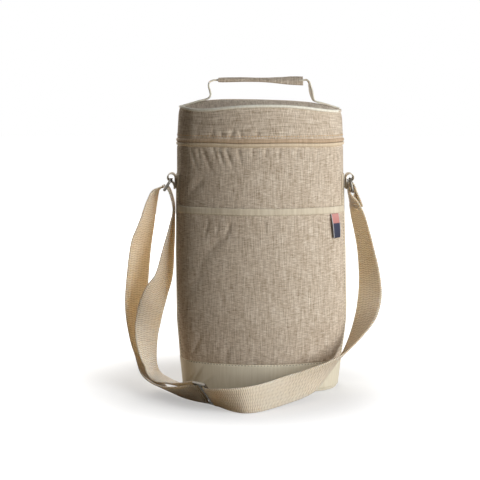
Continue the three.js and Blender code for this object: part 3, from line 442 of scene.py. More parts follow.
slub_group = weave_group("Slub weave", "Yarn", "Warp Slub", "Weft Slub")
slub_weave, slub_sizes, slub_results, slub_x, slub_y = slub_group
slub_math = functools.partial(reckon, slub_weave)
warp_count = slub_math("DIVIDE", slub_x, slub_sizes["Yarn"])
weft_count = slub_math("DIVIDE", slub_y, slub_sizes["Yarn"])


def thread_tone(across, lengthwise, slub):
    """Tone of the single threads that lie side by side, each with thick and thin stretches of its own."""
    number = slub_math("FLOOR", across)
    chance = add_node(slub_weave, "ShaderNodeTexWhiteNoise", {"W": number}, noise_dimensions="1D")["Value"]
    start = slub_math("MULTIPLY", chance, THREAD_SCATTER)
    run = slub_math("ADD", slub_math("DIVIDE", lengthwise, slub), start)
    return clouds(slub_weave, slub_math("MULTIPLY", number, THREAD_STRIDE), run, detail=1)


warp_tone = thread_tone(warp_count, slub_y, slub_sizes["Warp Slub"])
weft_tone = thread_tone(weft_count, slub_x, slub_sizes["Weft Slub"])
cross_count = slub_math("ADD", slub_math("FLOOR", warp_count), slub_math("FLOOR", weft_count))
weft_over = slub_math("FLOORED_MODULO", cross_count, 2)
weft_share = slub_math("MULTIPLY_ADD", weft_over, 1 - 2 * UNDER_SHARE, UNDER_SHARE)
thread_step = slub_math("SUBTRACT", weft_tone, warp_tone)
thread_mix = slub_math("MULTIPLY_ADD", thread_step, weft_share, warp_tone)
slub_grain = slub_math("MULTIPLY", clouds(slub_weave, warp_count, weft_count, detail=2), GRAIN_SHARE)
slub_tone = slub_math("MULTIPLY_ADD", thread_mix, 1 - GRAIN_SHARE, slub_grain)
warp_wave = slub_math("SINE", slub_math("MULTIPLY", warp_count, math.pi))
weft_wave = slub_math("SINE", slub_math("MULTIPLY", weft_count, math.pi))
slub_height = slub_math("ABSOLUTE", slub_math("MULTIPLY", warp_wave, weft_wave))
fill(slub_weave, slub_results, {"Tone": slub_tone, "Height": slub_height})

melange, melange_tree, melange_surface = shader("melange_cloth", roughness=0.92, sheen=0.12, gloss=0.15)
melange_yarns = woven(melange_tree, slub_weave, Yarn=YARN, Warp_Slub=WARP_SLUB, Weft_Slub=WEFT_SLUB)
melange_stops = ((0.27, CLOTH_DARK), (0.5, CLOTH_MIDDLE), (0.67, CLOTH_LIGHT))
melange_colour = ramp(melange_tree, melange_yarns["Tone"], melange_stops)
dress(melange_tree, melange_surface, melange_colour, melange_yarns["Height"], bump=0.5, depth=0.35 * MM)

draws = np.random.default_rng(11)


def back_puckers(reach, pitch, shift, height, wide, tall, lean):
    """Uneven puckers along a seam across the back."""
    puckers = []
    for place in steps(BACK_MIDDLE - reach, BACK_MIDDLE + reach, pitch):
        slip, deep, tilt = draws.uniform(-1, 1, 3)
        depth = PUCKER_DEPTH + PUCKER_SPREAD * deep
        puckers += folds(place, (shift * slip, height, depth, wide, tall, lean * tilt))
    return puckers


zip_puckers = folds(
    FRONT_MIDDLE,
    (-86, 289, 0.9, 2.2, 12, -0.35),
    (-78, 293, 0.8, 1.8, 7, -0.20),
    (-68, 288, 1.2, 2.6, 13, -0.45),
    (-57, 294, 1.0, 1.8, 7, -0.30),
    (-49, 290, 1.0, 2.0, 10, -0.40),
    (-39, 289, 1.3, 2.2, 12, -0.38),
    (-26, 292, 1.2, 2.2, 9, -0.25),
    (-10, 295, 1.0, 1.9, 6, -0.10),
    (6, 295, 1.1, 1.9, 6, 0.10),
    (22, 294, 0.9, 2.0, 7, 0.10),
    (44, 294, 1.0, 2.2, 7, 0.10),
    (71, 293, 1.1, 2.2, 8, 0.15),
    (-82, 252, 1.2, 7.0, 15, 0.80),
)
zip_puckers += back_puckers(reach=0.11, pitch=0.014, shift=4, height=292, wide=2, tall=7, lean=0.2)


def panel(name, start, stop, node):
    """One half of the outer cloth, from a seam to the other."""
    low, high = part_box(node)
    along = steps(start, stop, FOLD_STEP)
    up = levels(along, low.z, high.z, CLOTH_STEP)
    from_edge = np.clip((high.z - up) / SEAM_TURN, 0, 1)
    out = wall(up) - SEAM_TUCK * (1 - from_edge) ** 2
    out = out + creases(along[:, None], up, zip_puckers) + panel_slack(along[:, None], up)
    fit(swept(name, along, *ply(out, up, CLOTH)), melange, "root", "cloth", node)


panel("front_cloth", LEFT_SEAM, AROUND - SEAM_GAP, "front_panel")
panel("back_cloth", RIGHT_SEAM, LEFT_SEAM - SEAM_GAP, "back_panel")


# Foot: a band of smooth satin cloth sewn round the bottom over the pocket's lower edge, a corded piping at
# the floor and a flat cloth panel under it. The band's top edge is folded and topstitched.
BASE_CLOTH = 1.2 * MM
BASE_STEP = 2 * MM
BASE_RIB = 1.1 * MM
BASE_DARK = (220, 210, 186)
BASE_LIGHT = (227, 218, 196)
BASE_STAND = 1.5 * MM
BASE_TURN = 1.3 * MM
BASE_SLACK = 0.6 * MM
BASE_ROW_DROP = 1.9 * MM
BASE_ROW_STAND = 1.2 * MM
RIB_DRIFT = 30 * MM
STREAK_SHARE = 0.45
PIPING_SIDES = 12
PLATE_STEP = 4 * MM
PLATE_END = 0.995
STITCH_LENGTH = 2.6 * MM
STITCH_PITCH = 3.9 * MM
STITCH_WIDTH = 0.75 * MM
STITCH_RINGS = ((-0.5, 0.35, -0.45), (-0.32, 0.9, 0.1), (0, 1, 0.25), (0.32, 0.9, 0.1), (0.5, 0.35, -0.45))
ROW_STEP = 2 * MM
THREAD_SIDES = 6
base_low, base_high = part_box("base_band")

rib_sheen, rib_sizes, rib_results, rib_x, rib_y = weave_group("Fine ribs", "Rib", "Drift")
rib_math = functools.partial(reckon, rib_sheen)
rib_count = rib_math("DIVIDE", rib_x, rib_sizes["Rib"])
rib_wave = rib_math("SINE", rib_math("MULTIPLY", rib_count, 2 * math.pi))
rib_run = rib_math("DIVIDE", rib_y, rib_sizes["Drift"])
rib_streak = clouds(rib_sheen, rib_math("MULTIPLY", rib_count, STREAK_SHARE), rib_run, detail=1)
rib_height = rib_math("MULTIPLY_ADD", rib_wave, 0.5, 0.5)
fill(rib_sheen, rib_results, {"Tone": rib_streak, "Height": rib_height})


def ribbed_cloth(name, rib, dark, light, roughness, bump):
    """A smooth cloth or tape with fine ribs and faint streaks along them."""
    material, tree, surface = shader(name, roughness=roughness, sheen=0.1, gloss=0.25)
    ribs = woven(tree, rib_sheen, Rib=rib, Drift=RIB_DRIFT)
    colour = ramp(tree, ribs["Tone"], ((0.25, dark), (0.75, light)))
    dress(tree, surface, colour, ribs["Height"], bump, depth=0.15 * MM)
    return material


speckle, speckle_sizes, speckle_results = effect_group("Fine speckle", "Scale", "Detail")
speckle_inputs = {label: speckle_sizes[label] for label in ("Scale", "Detail")}
speckle_inputs["Vector"] = speckle_sizes["Place"]
speckle_tone = add_node(speckle, "ShaderNodeTexNoise", speckle_inputs)["Fac"]
fill(speckle, speckle_results, {"Tone": speckle_tone, "Height": speckle_tone})


def speckled(name, coordinates, scale, detail, dark, light, bump, depth, **plain):
    """A finish whose tone and fine relief follow small spots over a kind of coordinates, and the spots."""
    material, tree, surface = shader(name, **plain)
    place = add_node(tree, "ShaderNodeTexCoord")[coordinates]
    spots = placed(tree, speckle, place, Scale=scale, Detail=detail)
    colour = ramp(tree, spots["Tone"], ((0.3, dark), (0.7, light)))
    dress(tree, surface, colour, spots["Height"], bump, depth)
    return material, spots["Tone"]


def thread_finish(name, dark, light):
    """Twisted sewing thread, a little uneven in tone."""
    return speckled(
        name,
        "Generated",
        scale=700,
        detail=2,
        dark=dark,
        light=light,
        bump=0.3,
        depth=0.1 * MM,
        roughness=0.75,
        gloss=0.3,
    )[0]


def unit(vectors):
    """The same directions, each of length one."""
    return vectors / np.linalg.norm(vectors, axis=-1, keepdims=True)


def travelled(line):
    """How far along a line each of its points lies."""
    return np.append(0, np.cumsum(np.linalg.norm(np.diff(line, axis=0), axis=1)))


def stitch_row(along, out, up):
    """A row of stitches on the bag: its points and the way the cloth faces there."""
    x, y, east, north = oval(along)
    return on_bag(along, out, up), np.stack((east, north, 0 * east), -1)


def stitching(name, rows, width, thread, body, slot_name):
    """Rows of sewing stitches. A stitch is a short round thread that rises out of the cloth and goes down
    into it again."""
    points = []
    faces = []
    turn = np.arange(THREAD_SIDES)[:, None] * 2 * math.pi / THREAD_SIDES
    for spots, facing in rows:
        run = travelled(spots)
        for middle in np.arange(STITCH_PITCH / 2, run[-1] - STITCH_LENGTH / 2, STITCH_PITCH):
            reach = middle + np.array((-0.5, 0, 0.5)) * STITCH_LENGTH
            tail, heart, head = np.stack([np.interp(reach, run, column) for column in spots.T], -1)
            lift = unit(np.array([np.interp(middle, run, column) for column in facing.T]))
            aim = unit(head - tail)
            ring = np.cross(lift, aim) * np.cos(turn) + lift * np.sin(turn)
            first = len(points)
            for share, girth, rise in STITCH_RINGS:
                centre = heart + aim * share * STITCH_LENGTH + lift * rise * width
                points.extend(centre + ring * girth * width / 2)
            last = len(points) - THREAD_SIDES
            for start in range(first, last, THREAD_SIDES):
                for side in range(THREAD_SIDES):
                    a = start + side
                    b = start + (side + 1) % THREAD_SIDES
                    faces.append((a, b, b + THREAD_SIDES, a + THREAD_SIDES))
            faces += [tuple(range(end, end + THREAD_SIDES)) for end in (first, last)]
    weave = np.zeros((sum(len(face) for face in faces), 2))
    fit(piece(name, points, faces, weave), thread, body, slot_name)


base_satin = ribbed_cloth("base_satin", BASE_RIB, BASE_DARK, BASE_LIGHT, roughness=0.62, bump=0.35)
dark_thread = thread_finish("dark_thread", (112, 98, 80), (150, 134, 112))

base_along = steps(0, AROUND, CLOTH_STEP)[:-1]
base_up = levels(base_along, base_low.z, base_high.z, BASE_STEP)
base_folds = folds(LEFT_SEAM, (36, 16, 1.4, 2.4, 9, 0.9), (47, 20, 1.6, 2.2, 10, 0.7))
base_folds += folds(LEFT_SEAM, (60, 14, 1.3, 2.6, 8, 1.2))
base_folds += folds(FRONT_MIDDLE, (30, 10, 1.0, 3.0, 6, -1.0), (85, 18, 1.1, 2.6, 9, -0.6))
base_folds += folds(BACK_MIDDLE, (-50, 18, 1.1, 3.0, 9, 0.7), (40, 16, 1.3, 2.6, 9, -0.8))
base_turn = np.exp(-(((base_high.z - base_up) / BASE_TURN) ** 2))
base_out = wall(base_up) + BASE_STAND - BASE_TURN * base_turn
base_out = base_out + creases(base_along[:, None], base_up, base_folds)
base_out = base_out + BASE_SLACK * slack(base_along[:, None], base_up, size=0.035, seed=5)
base_band = swept("base_band_cloth", base_along, *ply(base_out, base_up, BASE_CLOTH), ring=True)
fit(base_band, base_satin, "root", "base_cloth", "base_band")


def piping(name, along, out, up, radius, material, body, slot_name, node):
    """A cord wrapped in bias tape and sewn into a seam all the way round."""
    turn = np.arange(PIPING_SIDES) * 2 * math.pi / PIPING_SIDES
    cord_out = np.reshape(out, (-1, 1)) + radius * np.cos(turn)
    cord_up = np.reshape(up, (-1, 1)) + radius * np.sin(turn)
    fit(swept(name, along, cord_out, cord_up, ring=True), material, body, slot_name, node)


piping_low, piping_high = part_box("base_piping")
piping_radius = (piping_high.z - piping_low.z) / 2
piping(
    "base_piping_cord",
    base_along,
    piping_high.x - HALF_WIDTH - piping_radius,
    piping_low.z + piping_radius,
    piping_radius,
    base_satin,
    "root",
    "base_cloth",
    "base_piping",
)


def half_depth(x, out):
    """Half the plan's depth at a distance along X, for a line so far out from it."""
    reach = np.abs(x)
    on_end = reach > END_CENTRE + (END_RADIUS + out) * math.cos(END_SWEEP)
    end_run = np.sqrt(np.maximum((END_RADIUS + out) ** 2 - (reach - END_CENTRE) ** 2, 0))
    side_run = np.sqrt((SIDE_RADIUS + out) ** 2 - reach**2) - SIDE_CENTRE
    return np.where(on_end, end_run, side_run)


def plate(name, out, top, thick, pitch):
    """A cloth panel over the whole plan, cut so far out from it. top gives the height of its upper face."""
    reach = (HALF_WIDTH + out) * PLATE_END
    x = reach * np.sin(steps(-math.pi / 2, math.pi / 2, pitch / reach))
    share = steps(-1, 1, pitch / HALF_DEPTH)
    y = half_depth(x, out)[:, None] * share
    x = np.broadcast_to(x[:, None], y.shape)
    z = top(x, share)
    upper = np.stack((x, y, z), -1)
    lower = np.stack((x, y, z - thick), -1)[:, ::-1]
    sections = np.concatenate((upper, lower), axis=1)
    middle = y[len(y) // 2]
    return loft(name, sections, x[:, 0], np.concatenate((middle, middle[::-1], middle[:1])))


def plate_out(node):
    """How far out from the plan a flat solid of the frame is cut."""
    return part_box(node)[1].x - HALF_WIDTH


under_low, under_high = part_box("base_panel")
under_thick = under_high.z - under_low.z


def under_face(x, share):
    """Height of the upper face of the cloth under the bag."""
    return under_high.z + 0 * x


under = plate("base_cloth_panel", plate_out("base_panel"), under_face, under_thick, PLATE_STEP)
fit(under, base_satin, "root", "base_cloth", "base_panel")

base_row_up = base_high.z - BASE_ROW_DROP
base_row = stitch_row(steps(0, AROUND, ROW_STEP), wall(base_row_up) + BASE_ROW_STAND, base_row_up)
stitching("base_stitching", [base_row], STITCH_WIDTH, dark_thread, "root", "base_cloth")


# Front pocket: a full-width patch of the same cloth, caught under the foot band and the side tapes. Its mouth
# is bound with a folded cream tape, stitched along the tape's lower edge, and stands a little off the wall.
POCKET_CLOTH = 1.0 * MM
POCKET_REST = 1.1 * MM
POCKET_EASE = 1.3 * MM
POCKET_SIDE_EASE = 0.35
POCKET_SIDE_HOLD = 12 * MM
POCKET_FOOT_HOLD = 16 * MM
POCKET_FOOT_LAP = 0.4 * MM
POCKET_GAPE = 2.2 * MM
GAPE_FOOT = 0.15
GAPE_RISE = 0.08
GAPE_SIDE = 0.09
POCKET_SLACK = 0.7 * MM
SLACK_FOOT = 0.045
SLACK_RISE = 0.03
SIDE_TAPE_HALF = 19 * MM
POCKET_SIDE_GAP = 0.4 * MM
TAPE_RIB = 1.3 * MM
CREAM_DARK = (206, 192, 168)
CREAM_LIGHT = (222, 210, 188)
BINDING_CLOTH = 0.55 * MM
BINDING_GRIP = 1.35 * MM
BINDING_SEAT = 0.35 * MM
BINDING_WAVE = 0.35 * MM
BINDING_MIDDLE = 0.224
BINDING_FRONT_OUT = np.array((0.05, 0.45, 0.5, 0.5)) * MM
BINDING_FRONT_UP = np.array((0, 0.6, 2.6, 5.2)) * MM
BINDING_BACK_OUT = np.array((0.5, 0.5, 0.45)) * MM
BINDING_BACK_UP = np.array((5.2, 2.6, 0)) * MM
BINDING_ROLL = 0.95
BINDING_ROW_RISE = 1.7 * MM
FINE_STITCH = 0.6 * MM
POCKET_START = LEFT_SEAM + SIDE_TAPE_HALF + POCKET_SIDE_GAP
POCKET_STOP = AROUND - SIDE_TAPE_HALF - POCKET_SIDE_GAP
pocket_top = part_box("pocket_panel")[1].z
binding_low, binding_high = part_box("pocket_binding")


def pocket_stand(along, up):
    """How far the pocket stands out from the plan: held at its sides and foot, easing away at its mouth."""
    from_side = np.minimum(along - POCKET_START, POCKET_STOP - along)
    held = np.clip(from_side / POCKET_SIDE_HOLD, 0, 1)
    foot = np.clip((up - base_high.z) / POCKET_FOOT_HOLD, 0, 1)
    mouth = np.clip((up - GAPE_FOOT) / GAPE_RISE, 0, 1) ** 2 * np.clip(from_side / GAPE_SIDE, 0, 1)
    ease = POCKET_EASE * foot * (2 - foot) * (POCKET_SIDE_EASE + (1 - POCKET_SIDE_EASE) * held)
    return wall(up) + POCKET_REST + ease + POCKET_GAPE * mouth


pocket_folds = folds(LEFT_SEAM, (50, 60, 0.9, 3.0, 16, 0.5), (90, 52, 0.7, 3.5, 12, 0.3))
pocket_folds += folds(
    FRONT_MIDDLE,
    (-56, 184, 1.3, 8.0, 17, 0.85),
    (-85, 135, 0.9, 8.0, 20, 0.6),
    (100, 60, 0.9, 3.0, 18, -0.4),
    (115, 120, 0.8, 4.0, 26, -0.2),
    (-66, 204, 0.8, 2.0, 8, 0.3),
    (-52, 206, 0.7, 1.8, 7, 0.2),
    (-39, 203, 0.9, 2.2, 9, 0.3),
    (-25, 207, 0.6, 1.8, 6, 0.1),
    (4, 206, 0.7, 2.0, 7, 0.0),
    (31, 207, 0.6, 2.0, 6, -0.2),
    (62, 205, 0.7, 2.2, 8, -0.2),
)
pocket_along = steps(POCKET_START, POCKET_STOP, FOLD_STEP)
pocket_up = levels(pocket_along, base_high.z - POCKET_FOOT_LAP, pocket_top, CLOTH_STEP)
pocket_out = pocket_stand(pocket_along[:, None], pocket_up)
pocket_out = pocket_out + creases(pocket_along[:, None], pocket_up, pocket_folds)
pocket_loose = POCKET_SLACK * np.clip((pocket_up - SLACK_FOOT) / SLACK_RISE, 0, 1)
pocket_out = pocket_out + pocket_loose * slack(pocket_along[:, None], pocket_up, size=0.06, seed=9)
pocket = swept("pocket_cloth", pocket_along, *ply(pocket_out, pocket_up, POCKET_CLOTH))
fit(pocket, melange, "root", "cloth", "pocket_panel")

cream_tape = ribbed_cloth("cream_tape", TAPE_RIB, CREAM_DARK, CREAM_LIGHT, roughness=0.7, bump=0.3)
cream_thread = thread_finish("cream_thread", (206, 192, 165), (232, 222, 200))
binding_face = pocket_stand(pocket_along, pocket_top) - BINDING_SEAT
binding_face = binding_face + BINDING_WAVE * slack(pocket_along, BINDING_MIDDLE, size=0.03, seed=21)
binding_turn = np.linspace(0, math.pi, 7)
binding_section = np.concatenate(
    (
        BINDING_GRIP / 2 + BINDING_FRONT_OUT,
        BINDING_GRIP * np.cos(binding_turn) * BINDING_ROLL,
        -BINDING_GRIP / 2 - BINDING_BACK_OUT,
    )
)
binding_heights = np.concatenate(
    (
        binding_low.z + BINDING_FRONT_UP,
        binding_high.z - BINDING_GRIP + BINDING_GRIP * np.sin(binding_turn),
        binding_low.z + BINDING_BACK_UP,
    )
)
binding_out = binding_face[:, None] + binding_section
binding_up = np.tile(binding_heights, (len(pocket_along), 1))
binding = swept("pocket_binding_tape", pocket_along, *ply(binding_out, binding_up, BINDING_CLOTH))
fit(binding, cream_tape, "root", "cream_tape", "pocket_binding")

pocket_row_along = steps(POCKET_START, POCKET_STOP, ROW_STEP)
pocket_row_out = np.interp(pocket_row_along, pocket_along, binding_out[:, 2])
pocket_row = stitch_row(pocket_row_along, pocket_row_out, binding_low.z + BINDING_ROW_RISE)
stitching("pocket_stitching", [pocket_row], FINE_STITCH, cream_thread, "root", "cream_tape")


# Side label: a short woven ribbon folded in half and caught under the pocket's binding near the right end. It
# is plain, with one coloured band over a dark field, and its left edge stands off the cloth.
RIBBON = 0.5 * MM
RIBBON_STEP = 1 * MM
RIBBON_RIB = 0.6 * MM
RIBBON_DRIFT = 3 * MM
LABEL_MIDDLE = AROUND - 40 * MM
LABEL_HALF = 6 * MM
LABEL_ROWS = 15
LABEL_LIFT = 1.6 * MM
LABEL_FAR_LIFT = 0.15
LABEL_LIFT_POWER = 0.7
LABEL_BACK_LIFT = 0.6
LABEL_BOW = 1.0 * MM
LABEL_SEAT = 0.7 * MM
LABEL_PART = 0.9 * MM
LABEL_FOLD = 0.3 * MM
LABEL_LEAN = 0.1
LABEL_HEM = 0.7 * MM
LABEL_LEVEL = 0.205
LABEL_STOPS = ((0.0, (36, 40, 60)), (0.60, (42, 46, 68)), (0.63, (190, 126, 120)), (1.0, (202, 144, 136)))
HEM_COLOUR = (190, 188, 190)
label_low, label_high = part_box("side_label")
label_tall = label_high.z - label_low.z
label_along = steps(LABEL_MIDDLE - LABEL_HALF, LABEL_MIDDLE + LABEL_HALF, RIBBON_STEP)
label_share = np.linspace(0, 1, LABEL_ROWS)
label_bow = LABEL_BOW * np.sin(math.pi * label_share)
label_lift = LABEL_LIFT * np.linspace(1, LABEL_FAR_LIFT, len(label_along))[:, None]
label_lift = label_lift * label_share[::-1] ** LABEL_LIFT_POWER
label_seat = pocket_stand(label_along, LABEL_LEVEL)[:, None] + LABEL_SEAT
label_front = label_seat + LABEL_PART + label_lift + label_bow
label_back = label_seat + label_lift * LABEL_BACK_LIFT
label_turn = (label_back[:, :1] + label_front[:, :1]) / 2
label_out = np.concatenate((label_back[:, ::-1], label_turn, label_front), axis=1)
label_heights = label_low.z + label_tall * label_share
label_heights = np.concatenate((label_heights[::-1], (label_low.z - LABEL_FOLD,), label_heights))
label_out, label_up = ply(label_out, np.tile(label_heights, (len(label_along), 1)), RIBBON)
label_sections = on_bag(label_along[:, None] + LABEL_LEAN * (label_high.z - label_up), label_out, label_up)
label = loft("folded_label", label_sections, label_along, np.append(label_up[0], label_up[0, 0]))

label_ribbon, label_tree, label_surface = shader("label_ribbon", roughness=0.6, sheen=0.1, gloss=0.3)
label_math = functools.partial(reckon, label_tree)
label_ribs = woven(label_tree, rib_sheen, Rib=RIBBON_RIB, Drift=RIBBON_DRIFT)
label_place = add_node(label_tree, "ShaderNodeTexCoord")["Object"]
label_height = add_node(label_tree, "ShaderNodeSeparateXYZ", {0: label_place})["Z"]
label_climb = label_math("DIVIDE", label_math("SUBTRACT", label_height, label_low.z), label_tall)
label_across = add_node(label_tree, "ShaderNodeSeparateXYZ", {0: cloth_place(label_tree)})["X"]
label_side = label_math("ABSOLUTE", label_math("SUBTRACT", label_across, LABEL_MIDDLE))
label_hem = label_math("GREATER_THAN", label_side, LABEL_HALF - LABEL_HEM)
label_field = ramp(label_tree, label_climb, LABEL_STOPS)
label_colour = blend_colours(label_tree, label_hem, label_field, finish_colour(*HEM_COLOUR))
dress(label_tree, label_surface, label_colour, label_ribs["Height"], bump=0.3, depth=0.12 * MM)
fit(label, label_ribbon, "root", "label", "side_label")


# Side tapes: cream tape sewn over each side seam with a row of stitches along both edges. A second tape is
# folded round the ring's upper bar above it, and holds the metal ring that the shoulder strap hangs from.
SIDE_TAPE = 0.9 * MM
SIDE_TAPE_STAND = 1.05 * MM
SIDE_TAPE_TUCK = 3 * MM
SIDE_TAPE_STEP = 1.6 * MM
SIDE_TAPE_RISE = 3 * MM
TAPE_ROW_INSET = 1.8 * MM
TAPE_ROW_STAND = 1.15 * MM
TAPE_ROW_DROP = 16 * MM
LOOP_RADIUS = 4.65 * MM
LOOP_WIDTH = 25 * MM
LOOP_EYE = 261 * MM
LOOP_TURN = np.linspace(math.pi, -math.radians(70), 16)
LOOP_INNER_UP = np.linspace(247, 258, 4) * MM
LOOP_OUTER_IN = np.array((0.9, 2.6, 3.5, 3.6)) * MM
LOOP_OUTER_UP = np.array((255.2, 252.9, 250.4, 247.2)) * MM
LOOP_ROWS = (248.6 * MM, 252.6 * MM)
LOOP_ROW_HALF = 10 * MM
LOOP_ROW_IN = 3.1 * MM
LOOP_ROW_TILT = 0.2
RING_WIRE = 1.8 * MM
RING_CORNER = 4.5 * MM
RING_DROP = 15 * MM
RING_REST = 2.1 * MM
RING_SIDES = 14
RING_CORNER_POINTS = 7
STRAP_COLUMNS = 9
STRAP_FLAT_INSET = 0.45
STRAP_EDGE_INSET = 0.1
STRAP_EDGE_RISE = 0.22
NICKEL_ROUGH = 0.16
NICKEL_WEAR = 0.25
NICKEL_DARK = (88, 84, 78)
NICKEL_LIGHT = (126, 122, 114)
tape_low, tape_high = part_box("right_side_tape")


def turn_weave(thing):
    """Lays a piece's cloth the other way on it, so that its long threads run the piece's length."""
    layer = thing.data.uv_layers["weave"].data
    weave = np.empty(len(layer) * 2, np.float32)
    layer.foreach_get("uv", weave)
    layer.foreach_set("uv", weave.reshape(-1, 2)[:, ::-1].ravel())
    return thing


def strap(name, centres, across, width, thick):
    """A flat strap of webbing or tape with soft edges, along its middle line and its width's direction. The
    width may change along it."""
    aim = unit(np.gradient(centres, axis=0))
    across = unit(across - np.sum(across * aim, axis=1, keepdims=True) * aim)
    face = np.cross(across, aim)
    half = np.broadcast_to(np.asarray(width) / 2, len(centres))[:, None]
    flat = np.linspace(-1, 1, STRAP_COLUMNS) * (half - thick * STRAP_FLAT_INSET)
    edge = half - thick * STRAP_EDGE_INSET
    side = np.concatenate((flat, edge, edge, flat[:, ::-1], -edge, -edge), axis=1)
    flat_rise = np.full(STRAP_COLUMNS, 0.5)
    edge_rise = np.array((STRAP_EDGE_RISE, -STRAP_EDGE_RISE))
    rise = np.concatenate((-flat_rise, -edge_rise, flat_rise, edge_rise)) * thick
    sections = centres[:, None] + across[:, None] * side[..., None] + face[:, None] * rise[:, None]
    return turn_weave(loft(name, sections, travelled(centres), np.append(side[0], side[0, 0])))


def wire_loop(name, middle, wire):
    """A closed loop of round wire along its middle line."""
    third = len(middle) // 3
    square = unit(np.cross(middle[0] - middle[third], middle[0] - middle[2 * third]))
    outward = np.cross(unit(np.roll(middle, -1, axis=0) - np.roll(middle, 1, axis=0)), square)
    turn = np.arange(RING_SIDES) * 2 * math.pi / RING_SIDES
    girth = np.cos(turn)[:, None] * outward[:, None] + np.sin(turn)[:, None] * square
    run = travelled(np.append(middle, middle[:1], axis=0))
    return loft(name, middle[:, None] + wire * girth, run, np.append(turn, 2 * math.pi) * wire, ring=True)


def rounded_loop(half_width, half_height, corner):
    """Points round a rectangle with round corners."""
    turn = np.linspace(0, math.pi / 2, RING_CORNER_POINTS) + np.arange(4)[:, None] * math.pi / 2
    x = np.array((1, -1, -1, 1))[:, None] * (half_width - corner) + corner * np.cos(turn)
    y = np.array((1, 1, -1, -1))[:, None] * (half_height - corner) + corner * np.sin(turn)
    return np.stack((x, y), -1).reshape(-1, 2)


nickel, nickel_spots = speckled(
    "nickel_plate",
    "Generated",
    scale=420,
    detail=4,
    dark=NICKEL_DARK,
    light=NICKEL_LIGHT,
    bump=0.08,
    depth=0.1 * MM,
    roughness=0.28,
    metallic=1.0,
)
nickel_wear = reckon(nickel.node_tree, "MULTIPLY_ADD", nickel_spots, NICKEL_WEAR, NICKEL_ROUGH)
fill(nickel.node_tree, nickel.node_tree.nodes["Principled BSDF"], {"Roughness": nickel_wear})

side_rows = []
for side, seam, hand in (("left", LEFT_SEAM, -1), ("right", RIGHT_SEAM, 1)):
    tape_along = steps(seam - SIDE_TAPE_HALF, seam + SIDE_TAPE_HALF, SIDE_TAPE_STEP)
    tape_up = levels(tape_along, tape_low.z - SIDE_TAPE_TUCK, tape_high.z, SIDE_TAPE_RISE)
    tape_out = wall(tape_up) + SIDE_TAPE_STAND + panel_slack(tape_along[:, None], tape_up)
    side_tape = swept(f"{side}_seam_tape", tape_along, *ply(tape_out, tape_up, SIDE_TAPE))
    fit(side_tape, cream_tape, "root", "cream_tape", f"{side}_side_tape")
    row_up = steps(tape_low.z, tape_high.z - TAPE_ROW_DROP, ROW_STEP)
    for edge in (-1, 1):
        row_along = np.full(len(row_up), seam + edge * (SIDE_TAPE_HALF - TAPE_ROW_INSET))
        side_rows.append(stitch_row(row_along, wall(row_up) + TAPE_ROW_STAND, row_up))

    ring_low, ring_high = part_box(f"{side}_ring")
    bar_x = (ring_low.x if hand > 0 else -ring_high.x) + RING_WIRE
    ring_far = (ring_high.x if hand > 0 else -ring_low.x) - RING_WIRE - bar_x
    ring_tilt = math.asin(ring_far / RING_DROP)
    loop_inner = np.full(len(LOOP_INNER_UP), bar_x - LOOP_RADIUS)
    loop_x = np.concatenate((loop_inner, bar_x + LOOP_RADIUS * np.cos(LOOP_TURN), bar_x - LOOP_OUTER_IN))
    loop_z = np.concatenate((LOOP_INNER_UP, LOOP_EYE + LOOP_RADIUS * np.sin(LOOP_TURN), LOOP_OUTER_UP))
    loop_line = np.stack((hand * loop_x, 0 * loop_x, loop_z), -1)
    loop_across = np.tile((0.0, 1.0, 0.0), (len(loop_line), 1))
    ring_loop = strap(f"{side}_tape_loop", loop_line, loop_across, LOOP_WIDTH, SIDE_TAPE)
    fit(ring_loop, cream_tape, "root", "cream_tape", f"{side}_ring_loop")
    row_y = steps(-LOOP_ROW_HALF, LOOP_ROW_HALF, ROW_STEP)
    for height in LOOP_ROWS:
        row = np.stack(np.broadcast_arrays(hand * (bar_x - LOOP_ROW_IN), row_y, height), -1)
        side_rows.append((row, np.tile((hand, 0.0, LOOP_ROW_TILT), (len(row), 1))))

    hang = np.array((hand * math.sin(ring_tilt), 0, -math.cos(ring_tilt)))
    outline = rounded_loop(ring_high.y - RING_WIRE, RING_DROP / 2, RING_CORNER)
    ring_middle = np.array((hand * bar_x, 0, LOOP_EYE - RING_REST)) + hang * RING_DROP / 2
    ring_line = ring_middle + outline[:, :1] * np.array((0, 1, 0)) - outline[:, 1:] * hang
    ring = wire_loop(f"{side}_strap_ring", ring_line, RING_WIRE)
    fit(ring, nickel, f"{side}_ring", "metal", f"{side}_ring")

stitching("side_tape_stitching", side_rows, FINE_STITCH, dark_thread, "root", "cream_tape")


# Zip: a reverse-coil zip runs from the hinge round the front and back to the hinge, so only its two tapes
# show, each rolled over the coil behind it. A nickel slider with a pull tab stands near the right end's back.
ZIP_HEIGHT = 305 * MM
ZIP_TAPE = 0.8 * MM
ZIP_STEP = 2.4 * MM
ZIP_RIB = 1.0 * MM
ZIP_LOWER_DARK = (212, 192, 163)
ZIP_LOWER_LIGHT = (226, 208, 181)
# The upper tape is the same tape as the lower one, painted darker as painted shade for its place under the
# lid's edge.
ZIP_SHADED_DARK = (184, 158, 130)
ZIP_SHADED_LIGHT = (206, 181, 152)
ZIP_ROLL_OUT = np.array((-1.5, -1.3, -0.6, 0.5, 1.1, 1.35, 1.3, 0.85, -0.1)) * MM
ZIP_ROLL_UP = np.array((-10, -5.6, -4.6, -3.9, -3.1, -2.3, -1.5, -0.7, -0.16)) * MM
ZIP_WAVE = 0.3 * MM
ZIP_SWAY = 0.8 * MM
ZIP_END = 1.02
COIL_PITCH = 1.6 * MM
COIL_SIDES = 8
COIL_BEAT = 0.22
COIL_SETBACK = 2.4 * MM
COIL_DEEP = 0.7 * MM
COIL_TALL = 1.0 * MM
COIL_DRIFT = 10 * MM
COIL_GROOVE_SHADE_STOPS = ((0.1, (150, 124, 88)), (0.7, (214, 188, 148)))
CAST_EDGE = 0.35 * MM
HINGE_CLOTH = 0.9 * MM
